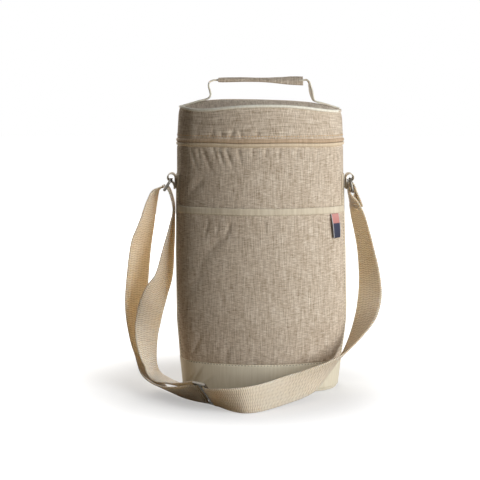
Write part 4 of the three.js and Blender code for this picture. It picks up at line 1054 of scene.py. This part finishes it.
HINGE_STEP = 3 * MM
HINGE_RISE = 1.2 * MM
HINGE_SETBACK = 1.5 * MM
HINGE_SWELL = 1.6 * MM
HINGE_SWELL_HALF = 3.4 * MM
hinge_low, hinge_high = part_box("lid_hinge_strip")
ZIP_START = BACK_MIDDLE + hinge_high.x * ZIP_END
ZIP_STOP = BACK_MIDDLE + AROUND - hinge_high.x * ZIP_END
zip_along = steps(ZIP_START, ZIP_STOP, ZIP_STEP)
zip_lower = ribbed_cloth("zip_tape_cloth", ZIP_RIB, ZIP_LOWER_DARK, ZIP_LOWER_LIGHT, roughness=0.7, bump=0.4)
# The upper tape's darker colours are painted shade, not a different tape.
zip_upper_shaded = ribbed_cloth(
    "zip_tape_shaded", ZIP_RIB, ZIP_SHADED_DARK, ZIP_SHADED_LIGHT, roughness=0.75, bump=0.4
)
zip_wave = ZIP_WAVE * slack(zip_along, ZIP_HEIGHT, size=0.03, seed=31)[:, None]
zip_sway = ZIP_SWAY * slack(zip_along, ZIP_HEIGHT, size=0.045, seed=33)[:, None]
for name, hand, body, finish, node in (
    ("zip_tape_below", 1, "root", zip_lower, "lower_zip_tape"),
    ("zip_tape_above", -1, "lid", zip_upper_shaded, "upper_zip_tape"),
):
    tape_out = wall(ZIP_HEIGHT) + ZIP_ROLL_OUT[::hand] + zip_wave
    tape_up = ZIP_HEIGHT + hand * ZIP_ROLL_UP[::hand] + zip_sway
    fit(swept(name, zip_along, *ply(tape_out, tape_up, ZIP_TAPE)), finish, body, "zip_tape", node)

zip_coil, coil_tree, coil_surface = shader("zip_coil_nylon", roughness=0.4, gloss=0.5)
coil_ribs = woven(coil_tree, rib_sheen, Rib=COIL_PITCH, Drift=COIL_DRIFT)["Height"]
# The coil's colour follows its ribs' height, darker in the grooves between its turns: painted shade.
dress(coil_tree, coil_surface, ramp(coil_tree, coil_ribs, COIL_GROOVE_SHADE_STOPS), coil_ribs, bump=0.8, depth=0.4 * MM)
coil_along = steps(ZIP_START, ZIP_STOP, COIL_PITCH / 4)
coil_turn = np.arange(COIL_SIDES) * 2 * math.pi / COIL_SIDES
coil_beat = 1 + COIL_BEAT * np.sin(np.arange(len(coil_along)) * math.pi / 2)[:, None]
coil_out = wall(ZIP_HEIGHT) - COIL_SETBACK + COIL_DEEP * coil_beat * np.cos(coil_turn)
coil_rise = COIL_TALL * coil_beat * np.sin(coil_turn)
for name, body, node in (
    ("zip_coil_below", "root", "lower_zip_coil"),
    ("zip_coil_above", "lid", "upper_zip_coil"),
):
    coil_low, coil_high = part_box(node)
    coil_up = (coil_low.z + coil_high.z) / 2 + coil_rise
    fit(swept(name, coil_along, coil_out, coil_up), zip_coil, body, "zip_coil", node)


def repaint(node, material):
    """Gives a solid of the frame its finish."""
    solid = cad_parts[node]
    solid.data.materials.clear()
    solid.data.materials.append(material)
    return solid


def casting(node, edge):
    """A nickel-plated casting of the frame, with its edges softened."""
    softened = repaint(node, nickel).modifiers.new("softened_edges", "BEVEL")
    softened.width = edge
    softened.segments = 3
    softened.limit_method = "ANGLE"


casting("zip_slider", CAST_EDGE)
casting("zip_puller", CAST_EDGE)


def fit_across(thing, material, node):
    """Gives a piece that crosses a joint its finish and hides the part it stands for."""
    thing.data.materials.append(material)
    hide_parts(node)
    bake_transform(thing)


hinge_along = steps(BACK_MIDDLE - hinge_high.x, BACK_MIDDLE + hinge_high.x, HINGE_STEP)
hinge_up = levels(hinge_along, hinge_low.z, hinge_high.z, HINGE_RISE)
hinge_swell = np.exp(-(((hinge_up - ZIP_HEIGHT) / HINGE_SWELL_HALF) ** 2))
hinge_out = wall(hinge_up) - HINGE_SETBACK + HINGE_SWELL * hinge_swell
hinge = swept("lid_hinge_cloth", hinge_along, *ply(hinge_out, hinge_up, HINGE_CLOTH))
fit_across(hinge, melange, "lid_hinge_strip")


# Lid: a shallow drum of the same cloth with a cream piping round its top edge and a crowned top panel. Its
# lower edge is folded and topstitched above the zip, and the soft edge dips towards both ends.
LID_EDGE = 348.9 * MM
LID_FOOT = 309.2 * MM
LID_FOOT_DIP = 0.9 * MM
LID_HEM = 0.6 * MM
LID_TUCK = 1.0 * MM
LID_TURN = 3.2 * MM
LID_SLACK = 0.55 * MM
LID_PIPING = 1.9 * MM
PIPING_SETBACK = 0.3 * MM
PIPING_SWAY = 0.25 * MM
PIPING_WAVE = 0.2 * MM
PIPING_LEVEL = 0.35
CORNER_DRAW = 1.8 * MM
CORNER_START = 78 * MM
CORNER_RUN = 22 * MM
CORNER_DROP = 11 * MM
CROWN_STAND = 0.2 * MM
CROWN_POWER = 2.6
LID_TOP_INSET = 5.4 * MM
LID_TOP_STEP = 3 * MM
LID_ROW_UP = 313.4 * MM
LID_ROW_STAND = 0.1 * MM
LID_EDGE_SHARES = (0, 0.015, 0.04, 0.075)
LID_FIRST_SHARE = 0.12
LID_SHARE_STEP = 0.055
PIPING_DARK = (232, 226, 208)
PIPING_LIGHT = (244, 240, 226)
EDGE_SPAN = 7 * MM
EDGE_SHIFTS = (-1, -0.5, 0, 0.5, 1)
DIP_PLACES = np.array((-104, -97, -82, -66, -44, -22, 0, 18, 33, 50, 66, 85, 98, 104)) * MM
DIP_DEPTHS = np.array((1.6, 3.2, 5.4, 5.2, 2.8, 0.8, 0, 0, 0.5, 1.9, 3.9, 6.6, 7.2, 7.0)) * MM
RIDGE_PLACES = np.array((-104, -96, -80, -63, -40, 0, 35, 63, 80, 96, 104)) * MM
RIDGE_HEIGHTS = np.array((346.2, 347.2, 351.4, 355.0, 356.0, 355.4, 354.2, 352.0, 348.4, 344.2, 342.8)) * MM


def eased(x, places, values):
    """Values between given places, with the corners rounded off."""
    return sum(np.interp(x + EDGE_SPAN * k, places, values) for k in EDGE_SHIFTS) / len(EDGE_SHIFTS)


def lid_edge(x):
    """Height of the lid's piped edge."""
    return LID_EDGE - eased(x, DIP_PLACES, DIP_DEPTHS)


def lid_crown(x, share):
    """Height of the lid's top face. share is how far a point lies from the middle line towards the edge."""
    ridge = eased(x, RIDGE_PLACES, RIDGE_HEIGHTS)
    edge = lid_edge(x) + CROWN_STAND
    return edge + (ridge - edge) * (1 - np.abs(share) ** CROWN_POWER)


lid_along = steps(0, AROUND, FOLD_STEP)[:-1]
lid_x = oval(lid_along)[0]
lid_top = lid_edge(lid_x)[:, None]
lid_share = np.append(LID_EDGE_SHARES, steps(LID_FIRST_SHARE, 1, LID_SHARE_STEP))
lid_foot = (LID_FOOT - LID_FOOT_DIP * (lid_x / HALF_WIDTH) ** 2)[:, None]
lid_up = lid_foot + (lid_top - LID_HEM - lid_foot) * lid_share
lid_puckers = folds(
    FRONT_MIDDLE,
    (-80, 316, 0.7, 2.8, 4.0, 0.2),
    (-60, 316, 1.0, 3.0, 4.5, 0.3),
    (-48, 315, 0.9, 2.4, 4.0, -0.2),
    (-35, 317, 1.4, 2.8, 5.0, 0.3),
    (-24, 316, 1.1, 2.2, 4.5, -0.3),
    (-4, 317, 1.1, 2.6, 4.5, 0.2),
    (30, 316, 0.7, 2.6, 4.0, 0.0),
    (62, 316, 0.7, 2.8, 4.0, 0.2),
)
lid_puckers += back_puckers(reach=0.12, pitch=0.017, shift=5, height=316, wide=2.6, tall=4.5, lean=0.3)
lid_tuck = LID_TUCK * np.clip(1 - (lid_up - lid_foot) / LID_TURN, 0, 1) ** 2
lid_out = wall(lid_up) - lid_tuck + creases(lid_along[:, None], lid_up, lid_puckers)
lid_out = lid_out + LID_SLACK * slack(lid_along[:, None], lid_up, size=0.045, seed=41)
lid_corner = CORNER_DRAW * np.clip((np.abs(lid_x) - CORNER_START) / CORNER_RUN, 0, 1) ** 2
lid_out = lid_out - lid_corner[:, None] * np.clip(1 - (lid_top - lid_up) / CORNER_DROP, 0, 1) ** 2
lid_band = turn_weave(swept("lid_cloth_band", lid_along, *ply(lid_out, lid_up, CLOTH), ring=True))
fit(lid_band, melange, "lid", "cloth", "lid_band")

piping_tape = ribbed_cloth("piping_tape", TAPE_RIB, PIPING_DARK, PIPING_LIGHT, roughness=0.65, bump=0.3)
piping_sway = PIPING_SWAY * slack(lid_along, PIPING_LEVEL, size=0.03, seed=43)
piping_wave = PIPING_WAVE * slack(lid_along, PIPING_LEVEL, size=0.025, seed=47)
piping(
    "lid_piping_cord",
    lid_along,
    wall(lid_edge(lid_x)) - PIPING_SETBACK - lid_corner + piping_sway,
    lid_edge(lid_x) + piping_wave,
    LID_PIPING,
    piping_tape,
    "lid",
    "cream_tape",
    "lid_piping",
)

lid_panel = plate("lid_cloth_top", -LID_TOP_INSET, lid_crown, CLOTH, LID_TOP_STEP)
fit(lid_panel, melange, "lid", "cloth", "lid_top_panel")

tan_thread = thread_finish("tan_thread", (202, 164, 116), (228, 192, 142))
lid_row = stitch_row(steps(0, AROUND, ROW_STEP), wall(LID_ROW_UP) + LID_ROW_STAND, LID_ROW_UP)
stitching("lid_stitching", [lid_row], STITCH_WIDTH, tan_thread, "lid", "cloth")


# Carry handle: one cream webbing lies on the lid, rises at both sides of the middle and runs through a sleeve
# of the bag's cloth wrapped round it. The sleeve is flattened and creased, and twists towards its right end.
HANDLE_WIDTH = 25 * MM
HANDLE_THICK = 2.2 * MM
HANDLE_RIB = 1.5 * MM
HANDLE_COLUMN = 2.2 * MM
HANDLE_DARK = (214, 206, 186)
HANDLE_LIGHT = (238, 231, 214)
HANDLE_LEFT = (
    (-95.0, 347.8), (-86, 350.4), (-76, 353.3), (-67, 355.4), (-62.6, 357.6), (-60.8, 361.2),
    (-61.8, 366.5), (-63.0, 371.5), (-62.2, 375.8), (-58.6, 378.2), (-53, 378.9), (-46, 378.8),
)
HANDLE_RIGHT = (
    (95.0, 345.0), (86, 347.8), (77, 350.4), (69, 352.5), (64.8, 354.6), (62.9, 359.0),
    (61.2, 366.0), (60.0, 371.5), (58.8, 376.4), (56.2, 379.0), (52.5, 378.8), (46, 378.3),
)
LEG_SHARES = (0, 0.5, 0.75, 1)
LEG_WIDTHS = (1, 1, 0.52, 0.34)
TWIST_HEIGHTS = (0.352, 0.366, 0.378)
TWISTS = (0.0, 0.22, 0.05)
RIB_SHADE_SHARE = 0.7
RIB_SLANT = 0.45
RIB_RISE = 0.35
COLUMN_RISE = 0.18
BLOTCH_COLUMNS = 0.7
BLOTCH_ROWS = 0.8
GLOW_REACHES = (1.0, 0.86, 0.72)
LEAST_GAP = 1e-3
LEG_SPAN_STEPS = 5

twill_weave, twill_sizes, twill_results, twill_x, twill_y = weave_group("Webbing weave", "Rib", "Column")
twill_math = functools.partial(reckon, twill_weave)
twill_column = twill_math("DIVIDE", twill_x, twill_sizes["Column"])
twill_row = twill_math("DIVIDE", twill_y, twill_sizes["Rib"])
twill_slant = twill_math("MULTIPLY_ADD", twill_math("PINGPONG", twill_column, 1), RIB_SLANT, twill_row)
twill_rib = twill_math("SINE", twill_math("MULTIPLY", twill_slant, 2 * math.pi))
twill_valley = twill_math("SINE", twill_math("MULTIPLY", twill_column, math.pi))
twill_height = twill_math("MULTIPLY_ADD", twill_rib, RIB_RISE, 0.5)
twill_height = twill_math("MULTIPLY_ADD", twill_math("ABSOLUTE", twill_valley), COLUMN_RISE, twill_height)
blotch_x = twill_math("MULTIPLY", twill_column, BLOTCH_COLUMNS)
blotch_y = twill_math("MULTIPLY", twill_row, BLOTCH_ROWS)
twill_blotch = twill_math("MULTIPLY", clouds(twill_weave, blotch_x, blotch_y, detail=2), 1 - RIB_SHADE_SHARE)
# The tone is partly the ribs' height, so the valleys between the ribs carry painted shade, and partly
# blotches of the webbing's own uneven tone.
twill_tone_and_shade = twill_math("MULTIPLY_ADD", twill_height, RIB_SHADE_SHARE, twill_blotch)
fill(twill_weave, twill_results, {"Tone": twill_tone_and_shade, "Height": twill_height})


def webbing_finish(name, rib, column, dark, light, glow, reach):
    """Woven strap webbing, ribbed across in slanting columns, with painted shade in its rib valleys. Some of
    the light behind it glows through.
    """
    material, tree, surface = shader(name, roughness=0.8, sheen=0.1, gloss=0.25)
    weave = woven(tree, twill_weave, Rib=rib, Column=column)
    colour = ramp(tree, weave["Tone"], ((0.25, dark), (0.7, light)))
    dress(tree, surface, colour, weave["Height"], bump=0.7, depth=0.5 * MM)
    surface.inputs["Subsurface Weight"].default_value = glow
    surface.inputs["Subsurface Radius"].default_value = GLOW_REACHES
    surface.inputs["Subsurface Scale"].default_value = reach
    return material


def smooth_line(stations, per_span):
    """A smooth line through given points, with even steps between them."""
    points = np.asarray(stations, float)
    ends = np.concatenate((2 * points[:1] - points[1:2], points, 2 * points[-1:] - points[-2:-1]))
    gaps = np.maximum(np.sqrt(np.linalg.norm(np.diff(ends, axis=0), axis=1)), LEAST_GAP)
    line = []
    for k in range(len(points) - 1):
        before, start, stop, after = ends[k : k + 4]
        first, span, last = gaps[k : k + 3]
        leave = (start - before) / first - (stop - before) / (first + span) + (stop - start) / span
        arrive = (stop - start) / span - (after - start) / (span + last) + (after - stop) / last
        for t in np.arange(per_span) / per_span:
            pull = (t**3 - 2 * t**2 + t) * leave * span + (t**3 - t**2) * arrive * span
            line.append((2 * t**3 - 3 * t**2 + 1) * start + (3 * t**2 - 2 * t**3) * stop + pull)
    line.append(points[-1])
    return np.array(line)


handle_web = webbing_finish(
    "handle_webbing", HANDLE_RIB, HANDLE_COLUMN, HANDLE_DARK, HANDLE_LIGHT, glow=0.3, reach=2 * MM
)
for side, stations, sway in (("left", HANDLE_LEFT, 0.2), ("right", HANDLE_RIGHT, 0.5)):
    line = smooth_line([(x * MM, 0, z * MM) for x, z in stations], LEG_SPAN_STEPS)
    twist = sway * np.interp(line[:, 2], TWIST_HEIGHTS, TWISTS)
    across = np.stack((-twist, np.ones(len(line)), 0 * twist), -1)
    leg_width = HANDLE_WIDTH * np.interp(np.linspace(0, 1, len(line)), LEG_SHARES, LEG_WIDTHS)
    leg = strap(f"handle_leg_{side}", line, across, leg_width, HANDLE_THICK)
    node = f"handle_webbing_{side}"
    fit_across(leg, handle_web, node)

GRIP_HALF = 51.5 * MM
GRIP_STEP = 1.5 * MM
GRIP_SIDES = 72
GRIP_SWELL = 0.05
GRIP_SWELLS = 3
GRIP_SWELL_TURN = 6
GRIP_CREASE = 0.11
GRIP_CREASES = 3.5
GRIP_CREASE_TURN = 2.5
GRIP_CREASE_HALF = 0.4
GRIP_TWIST_SHARES = (0, 0.45, 0.6, 0.85, 1)
GRIP_TWISTS = (4, 8, 14, 36, 38)
GRIP_WIDE_SHARES = (0, 0.1, 0.5, 0.8, 1)
GRIP_WIDES = (7.2, 7.6, 7.0, 7.6, 7.8)
GRIP_TALL_SHARES = (0, 0.04, 0.3, 0.5, 0.75, 0.96, 1)
GRIP_TALLS = (2.5, 2.9, 2.7, 2.4, 2.8, 3.1, 2.9)
GRIP_RISE_SHARES = (0, 0.3, 0.5, 0.75, 1)
GRIP_RISES = (379.0, 379.4, 379.0, 378.2, 377.7)
GRIP_GIRTH = 40 * MM
grip_x = steps(-GRIP_HALF, GRIP_HALF, GRIP_STEP)[:, None]
grip_share = (grip_x + GRIP_HALF) / (2 * GRIP_HALF)
grip_turn = np.arange(GRIP_SIDES) * 2 * math.pi / GRIP_SIDES
grip_twist = np.radians(np.interp(grip_share, GRIP_TWIST_SHARES, GRIP_TWISTS))
grip_wide = np.interp(grip_share, GRIP_WIDE_SHARES, GRIP_WIDES) * MM
grip_tall = np.interp(grip_share, GRIP_TALL_SHARES, GRIP_TALLS) * MM
grip_rise = np.interp(grip_share, GRIP_RISE_SHARES, GRIP_RISES) * MM
grip_swell = GRIP_SWELL * np.cos(GRIP_SWELLS * grip_turn + GRIP_SWELL_TURN * grip_share)
grip_valley = np.sin(GRIP_CREASES * grip_turn - GRIP_CREASE_TURN * grip_share) / GRIP_CREASE_HALF
grip_fold = 1 + grip_swell - GRIP_CREASE * np.exp(-(grip_valley**2))
grip_y = grip_wide * np.cos(grip_turn) * grip_fold
grip_z = grip_tall * np.sin(grip_turn) * grip_fold
grip_sections = np.stack(
    (
        np.broadcast_to(grip_x, grip_y.shape),
        grip_y * np.cos(grip_twist) - grip_z * np.sin(grip_twist),
        grip_rise + grip_y * np.sin(grip_twist) + grip_z * np.cos(grip_twist),
    ),
    -1,
)
grip = loft("handle_grip_sleeve", grip_sections, grip_x[:, 0], np.linspace(0, GRIP_GIRTH, GRIP_SIDES + 1))
fit(grip, melange, "handle", "cloth", "handle_grip", "handle_core")


# Inside: a crinkled wipe-clean film lines foam sheets all round, on the floor and in the lid, and a soft
# padded divider stands between the two bottles. The foam and the floor board are closed in behind the film.
FILM = 0.8 * MM
FLOOR_FILM = 0.5 * MM
FILM_STEP = 3 * MM
FILM_SETBACK = 6.9 * MM
FILM_LUMP = 0.025
FILM_DARK = (176, 178, 180)
FILM_LIGHT = (214, 215, 216)
LINER_ROWS = 46
LINER_ROLL_DROP = 3.2 * MM
LINER_ROLL_OUT = np.array((-6.6, -5.6, -4.0, -2.4)) * MM
LINER_ROLL_UP = np.array((-2.0, -1.2, -0.7, -0.6)) * MM
LINER_CRINKLE = 0.6 * MM
FLOOR_CRINKLE = 0.3 * MM
FLOOR_CRINKLES_ALONG = 140
FLOOR_CRINKLES_ACROSS = 7
LID_CRINKLE = 0.5 * MM
LID_FILM_ROWS = 14
LID_FILM_DROP = 5 * MM
LID_FILM_UNDER = 8.6 * MM
PAD_STEP = 3 * MM
PAD_EDGE = 0.35
PAD_ROUND = 6 * MM
FOAM = 3.0 * MM
FOAM_STEP = 6 * MM
FOAM_SETBACK = 3.4 * MM
FOAM_PIT_SHADE_STOPS = ((0.0, (214, 214, 210)), (0.6, (238, 238, 234)))
FOAM_CELLS = 900
LID_FOAM_ROWS = 8
LID_FOAM_DROP = 9 * MM
BOARD_DARK = (58, 56, 54)
BOARD_LIGHT = (78, 76, 72)
liner_film = speckled(
    "liner_film",
    "Object",
    scale=90,
    detail=5,
    dark=FILM_DARK,
    light=FILM_LIGHT,
    bump=0.6,
    depth=1.2 * MM,
    roughness=0.35,
    metallic=0.55,
)[0]

liner_low, liner_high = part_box("liner_wall")
liner_along = steps(0, AROUND, FILM_STEP)[:-1]
liner_rows = np.linspace(liner_low.z, liner_high.z - LINER_ROLL_DROP, LINER_ROWS)
liner_up = np.tile(np.append(liner_rows, liner_high.z + LINER_ROLL_UP), (len(liner_along), 1))
liner_crinkle = LINER_CRINKLE * np.abs(slack(liner_along[:, None], liner_up, FILM_LUMP, seed=51))
liner_out = wall(liner_up) + np.append(np.full(LINER_ROWS, -FILM_SETBACK), LINER_ROLL_OUT) - liner_crinkle
liner = swept("liner_film_wall", liner_along, *ply(liner_out, liner_up, FILM), ring=True)
fit(liner, liner_film, "root", "liner", "liner_wall")


def crinkled_floor(x, share):
    """Height of the film on the bag's floor."""
    crinkle = np.sin(x * FLOOR_CRINKLES_ALONG) * np.cos(share * FLOOR_CRINKLES_ACROSS)
    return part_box("liner_floor")[1].z - FLOOR_CRINKLE * np.abs(crinkle)


liner_floor = plate("liner_film_floor", plate_out("liner_floor"), crinkled_floor, FLOOR_FILM, PLATE_STEP)
fit(liner_floor, liner_film, "root", "liner", "liner_floor")

lid_film_low, lid_film_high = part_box("lid_liner_band")
lid_film_rows = np.linspace(lid_film_low.z, lid_film_high.z - LID_FILM_DROP, LID_FILM_ROWS)
lid_film_up = np.tile(lid_film_rows, (len(liner_along), 1))
lid_crinkle = LID_CRINKLE * np.abs(slack(liner_along[:, None], lid_film_up, FILM_LUMP, seed=53))
lid_film_section = ply(wall(lid_film_up) - FILM_SETBACK - lid_crinkle, lid_film_up, FILM)
lid_film = swept("lid_film_band", liner_along, *lid_film_section, ring=True)
fit(lid_film, liner_film, "lid", "liner", "lid_liner_band")


def lid_ceiling(x, share):
    """Height of the film under the lid's top."""
    return lid_crown(x, share) - LID_FILM_UNDER


lid_film_top = plate("lid_film_top", plate_out("lid_liner_top"), lid_ceiling, FILM, PLATE_STEP)
fit(lid_film_top, liner_film, "lid", "liner", "lid_liner_top")

pad_low, pad_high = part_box("bottle_divider")
pad_y = steps(pad_low.y, pad_high.y, PAD_STEP)
pad_z = steps(pad_low.z, pad_high.z, PAD_STEP)
pad_from_side = np.minimum(pad_y - pad_low.y, pad_high.y - pad_y)
pad_from_end = np.minimum(pad_z - pad_low.z, pad_high.z - pad_z)
pad_inward = np.clip(np.minimum.outer(pad_from_side, pad_from_end) / PAD_ROUND, 0, 1) ** 0.5
pad_x = (pad_high.x - pad_low.x) / 2 * (PAD_EDGE + (1 - PAD_EDGE) * pad_inward)
pad_grid = np.meshgrid(pad_y, pad_z, indexing="ij")
pad_faces = (np.stack((pad_x, *pad_grid), -1), np.stack((-pad_x, *pad_grid), -1)[:, ::-1])
pad_around = np.concatenate((pad_z, pad_z[::-1], pad_z[:1]))
pad = loft("divider_pad", np.concatenate(pad_faces, axis=1), pad_y, pad_around)
fit(pad, liner_film, "root", "liner", "bottle_divider")

foam, foam_tree, foam_surface = shader("foam_sheet", roughness=0.95, gloss=0.2)
foam_cells = add_node(foam_tree, "ShaderNodeTexVoronoi", {"Scale": FOAM_CELLS})["Distance"]
# The foam's colour follows the same cells as its relief and is darker in their pits: painted shade.
foam_colour = ramp(foam_tree, foam_cells, FOAM_PIT_SHADE_STOPS)
dress(foam_tree, foam_surface, foam_colour, foam_cells, bump=0.4, depth=0.4 * MM)
foam_low, foam_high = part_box("foam_wall")
foam_up = levels(liner_along, foam_low.z + FOAM / 2, foam_high.z - FOAM / 2, FOAM_STEP)
foam_sheet = ply(wall(foam_up) - FOAM_SETBACK, foam_up, FOAM)
fit(swept("foam_sheet_wall", liner_along, *foam_sheet, ring=True), foam, "root", "foam", "foam_wall")
lid_foam_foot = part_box("lid_foam_band")[0].z
lid_foam_rise = lid_edge(oval(liner_along)[0]) - LID_FOAM_DROP - lid_foam_foot
lid_foam_up = lid_foam_foot + FOAM / 2 + lid_foam_rise[:, None] * np.linspace(0, 1, LID_FOAM_ROWS)
lid_foam_sheet = ply(wall(lid_foam_up) - FOAM_SETBACK, lid_foam_up, FOAM)
fit(swept("lid_foam_sheet", liner_along, *lid_foam_sheet, ring=True), foam, "lid", "foam", "lid_foam_band")

board = speckled(
    "floor_board",
    "Generated",
    scale=260,
    detail=2,
    dark=BOARD_DARK,
    light=BOARD_LIGHT,
    bump=0.2,
    depth=0.2 * MM,
    roughness=0.6,
)[0]
repaint("foam_floor", foam)
repaint("lid_foam_top", foam)
repaint("base_board", board)


# Shoulder strap: one long sand-coloured webbing. It is sewn round the right ring, lies across the front
# through the metal slide, climbs to the left ring, and comes back down as a loop to the slide's middle bar.
STRAP_WIDTH = 32 * MM
STRAP_THICK = 1.9 * MM
STRAP_RIB = 2.2 * MM
STRAP_COLUMN = 4.0 * MM
STRAP_DARK = (186, 160, 134)
STRAP_LIGHT = (239, 221, 199)
STRAP_SPAN_STEPS = 8
SLIDE_EDGE = 0.8 * MM
STRAP_FRONT = (
    ((119.3, -2.4, 223.5), (-0.36, 0.93, -0.08)), ((116.2, 0, 246), (0, 1, 0)),
    ((112.6, 0, 253.8), (0, 1, 0)), ((109.1, 0, 250), (0, 1, 0)), ((108.7, 0, 243.6), (0, 1, 0)),
    ((110.9, -0.6, 237), (-0.1, 0.99, 0)), ((115, -2, 228), (-0.3, 0.95, -0.08)),
    ((120, -3, 213), (-0.46, 0.88, -0.1)), ((129.5, -5, 173.6), (-0.57, 0.81, -0.11)),
    ((135, -9, 134), (-0.79, 0.61, -0.1)), ((134.5, -14, 112), (-0.88, 0.47, -0.08)),
    ((129, -23, 91), (-0.8, 0.6, -0.1)), ((115, -38, 68), (-0.35, 0.92, -0.15)),
    ((98, -52, 48), (0, 0.96, -0.28)), ((81, -64, 36), (0.08, 0.75, -0.65)),
    ((58, -79, 24), (0.12, 0.1, -0.98)), ((33, -96, 19), (0.2, -0.15, -0.97)),
    ((-5, -131, 16.5), (0.15, 0, -0.98)), ((-22, -138.5, 16.3), (0.15, 0.15, -0.97)),
    ((-41, -133, 15.5), (0.28, 0.35, -0.89)), ((-56.7, -119.1, 14.4), (0.43, 0.45, -0.78)),
    ((-61.3, -114.1, 14.7), (0.43, 0.45, -0.78)), ((-61.4, -111.4, 16.2), (0.43, 0.45, -0.78)),
    ((-61.5, -108.7, 17.7), (0.43, 0.45, -0.78)), ((-63, -107, 17.9), (0.43, 0.45, -0.78)),
)
STRAP_INNER = (
    ((-63.4, -106.6, 17.9), (0.43, 0.45, -0.78)), ((-72, -98.4, 17.9), (0.43, 0.45, -0.78)),
    ((-87, -83, 16.5), (0.55, 0.62, -0.5)), ((-104, -62, 16), (0.6, 0.75, -0.25)),
    ((-122, -38, 17), (0.55, 0.83, -0.1)), ((-134, -22, 27), (0.45, 0.85, -0.25)),
    ((-140, -17, 64.4), (0.83, 0.55, -0.12)), ((-136, -15.5, 95), (1, 0.06, 0)),
    ((-128.8, -13, 117.6), (0.92, 0.39, -0.07)), ((-119.1, -10, 138.3), (0.65, 0.75, -0.12)),
    ((-113, -6, 172), (0.38, 0.9, -0.13)), ((-108.2, -3, 202), (0.14, 0.98, -0.09)),
    ((-106.2, 0, 223), (0, 1, 0)), ((-110.4, 0, 242), (0, 1, 0)), ((-113.4, 0, 247.8), (0, 1, 0)),
    ((-116.9, 0, 249.8), (0, 1, 0)),
)
STRAP_OUTER = (
    ((-118, 0, 249.8), (0, 1, 0)), ((-119.9, 0, 249.3), (0, 1, 0)),
    ((-123.3, 0, 247.6), (0.08, 0.99, -0.04)), ((-128.9, 0, 243.2), (0.2, 0.97, -0.07)),
    ((-133.3, 1, 231), (0.33, 0.94, -0.1)), ((-137.6, 2, 214.5), (0.45, 0.89, -0.1)),
    ((-142, 4, 198), (0.6, 0.79, -0.1)), ((-147, 6, 180), (0.75, 0.66, -0.09)),
    ((-152, 9, 141.5), (0.81, 0.58, -0.09)), ((-154.4, 8, 98), (0.85, 0.53, -0.08)),
    ((-149.5, 6, 60), (0.82, 0.57, -0.08)), ((-143.5, 0, 38), (0.75, 0.65, -0.1)),
    ((-137, -18, 19), (0.65, 0.7, -0.25)), ((-124, -45, 11), (0.68, 0.6, -0.42)),
    ((-107, -73, 10), (0.6, 0.6, -0.5)), ((-88, -91, 12), (0.52, 0.52, -0.66)),
    ((-75.5, -101.1, 14.4), (0.43, 0.45, -0.78)), ((-70.3, -105.5, 14.7), (0.43, 0.45, -0.78)),
    ((-67.9, -105.7, 15.9), (0.43, 0.45, -0.78)),
)
strap_web = webbing_finish(
    "strap_webbing", STRAP_RIB, STRAP_COLUMN, STRAP_DARK, STRAP_LIGHT, glow=1.0, reach=7 * MM
)
for name, stations, ring_body, way, node in (
    ("strap_front", STRAP_FRONT, "right_ring", 1, "strap_long"),
    ("strap_inner", STRAP_INNER, "left_ring", -1, "strap_long"),
    ("strap_outer", STRAP_OUTER, "left_ring", 1, "strap_return"),
):
    line = smooth_line([np.array(at) * MM for at, across in stations], STRAP_SPAN_STEPS)
    across = smooth_line([across for at, across in stations], STRAP_SPAN_STEPS)
    webbing = strap(name, line, across, STRAP_WIDTH, STRAP_THICK)
    fit_across(webbing, strap_web, node)

casting("strap_adjuster", SLIDE_EDGE)
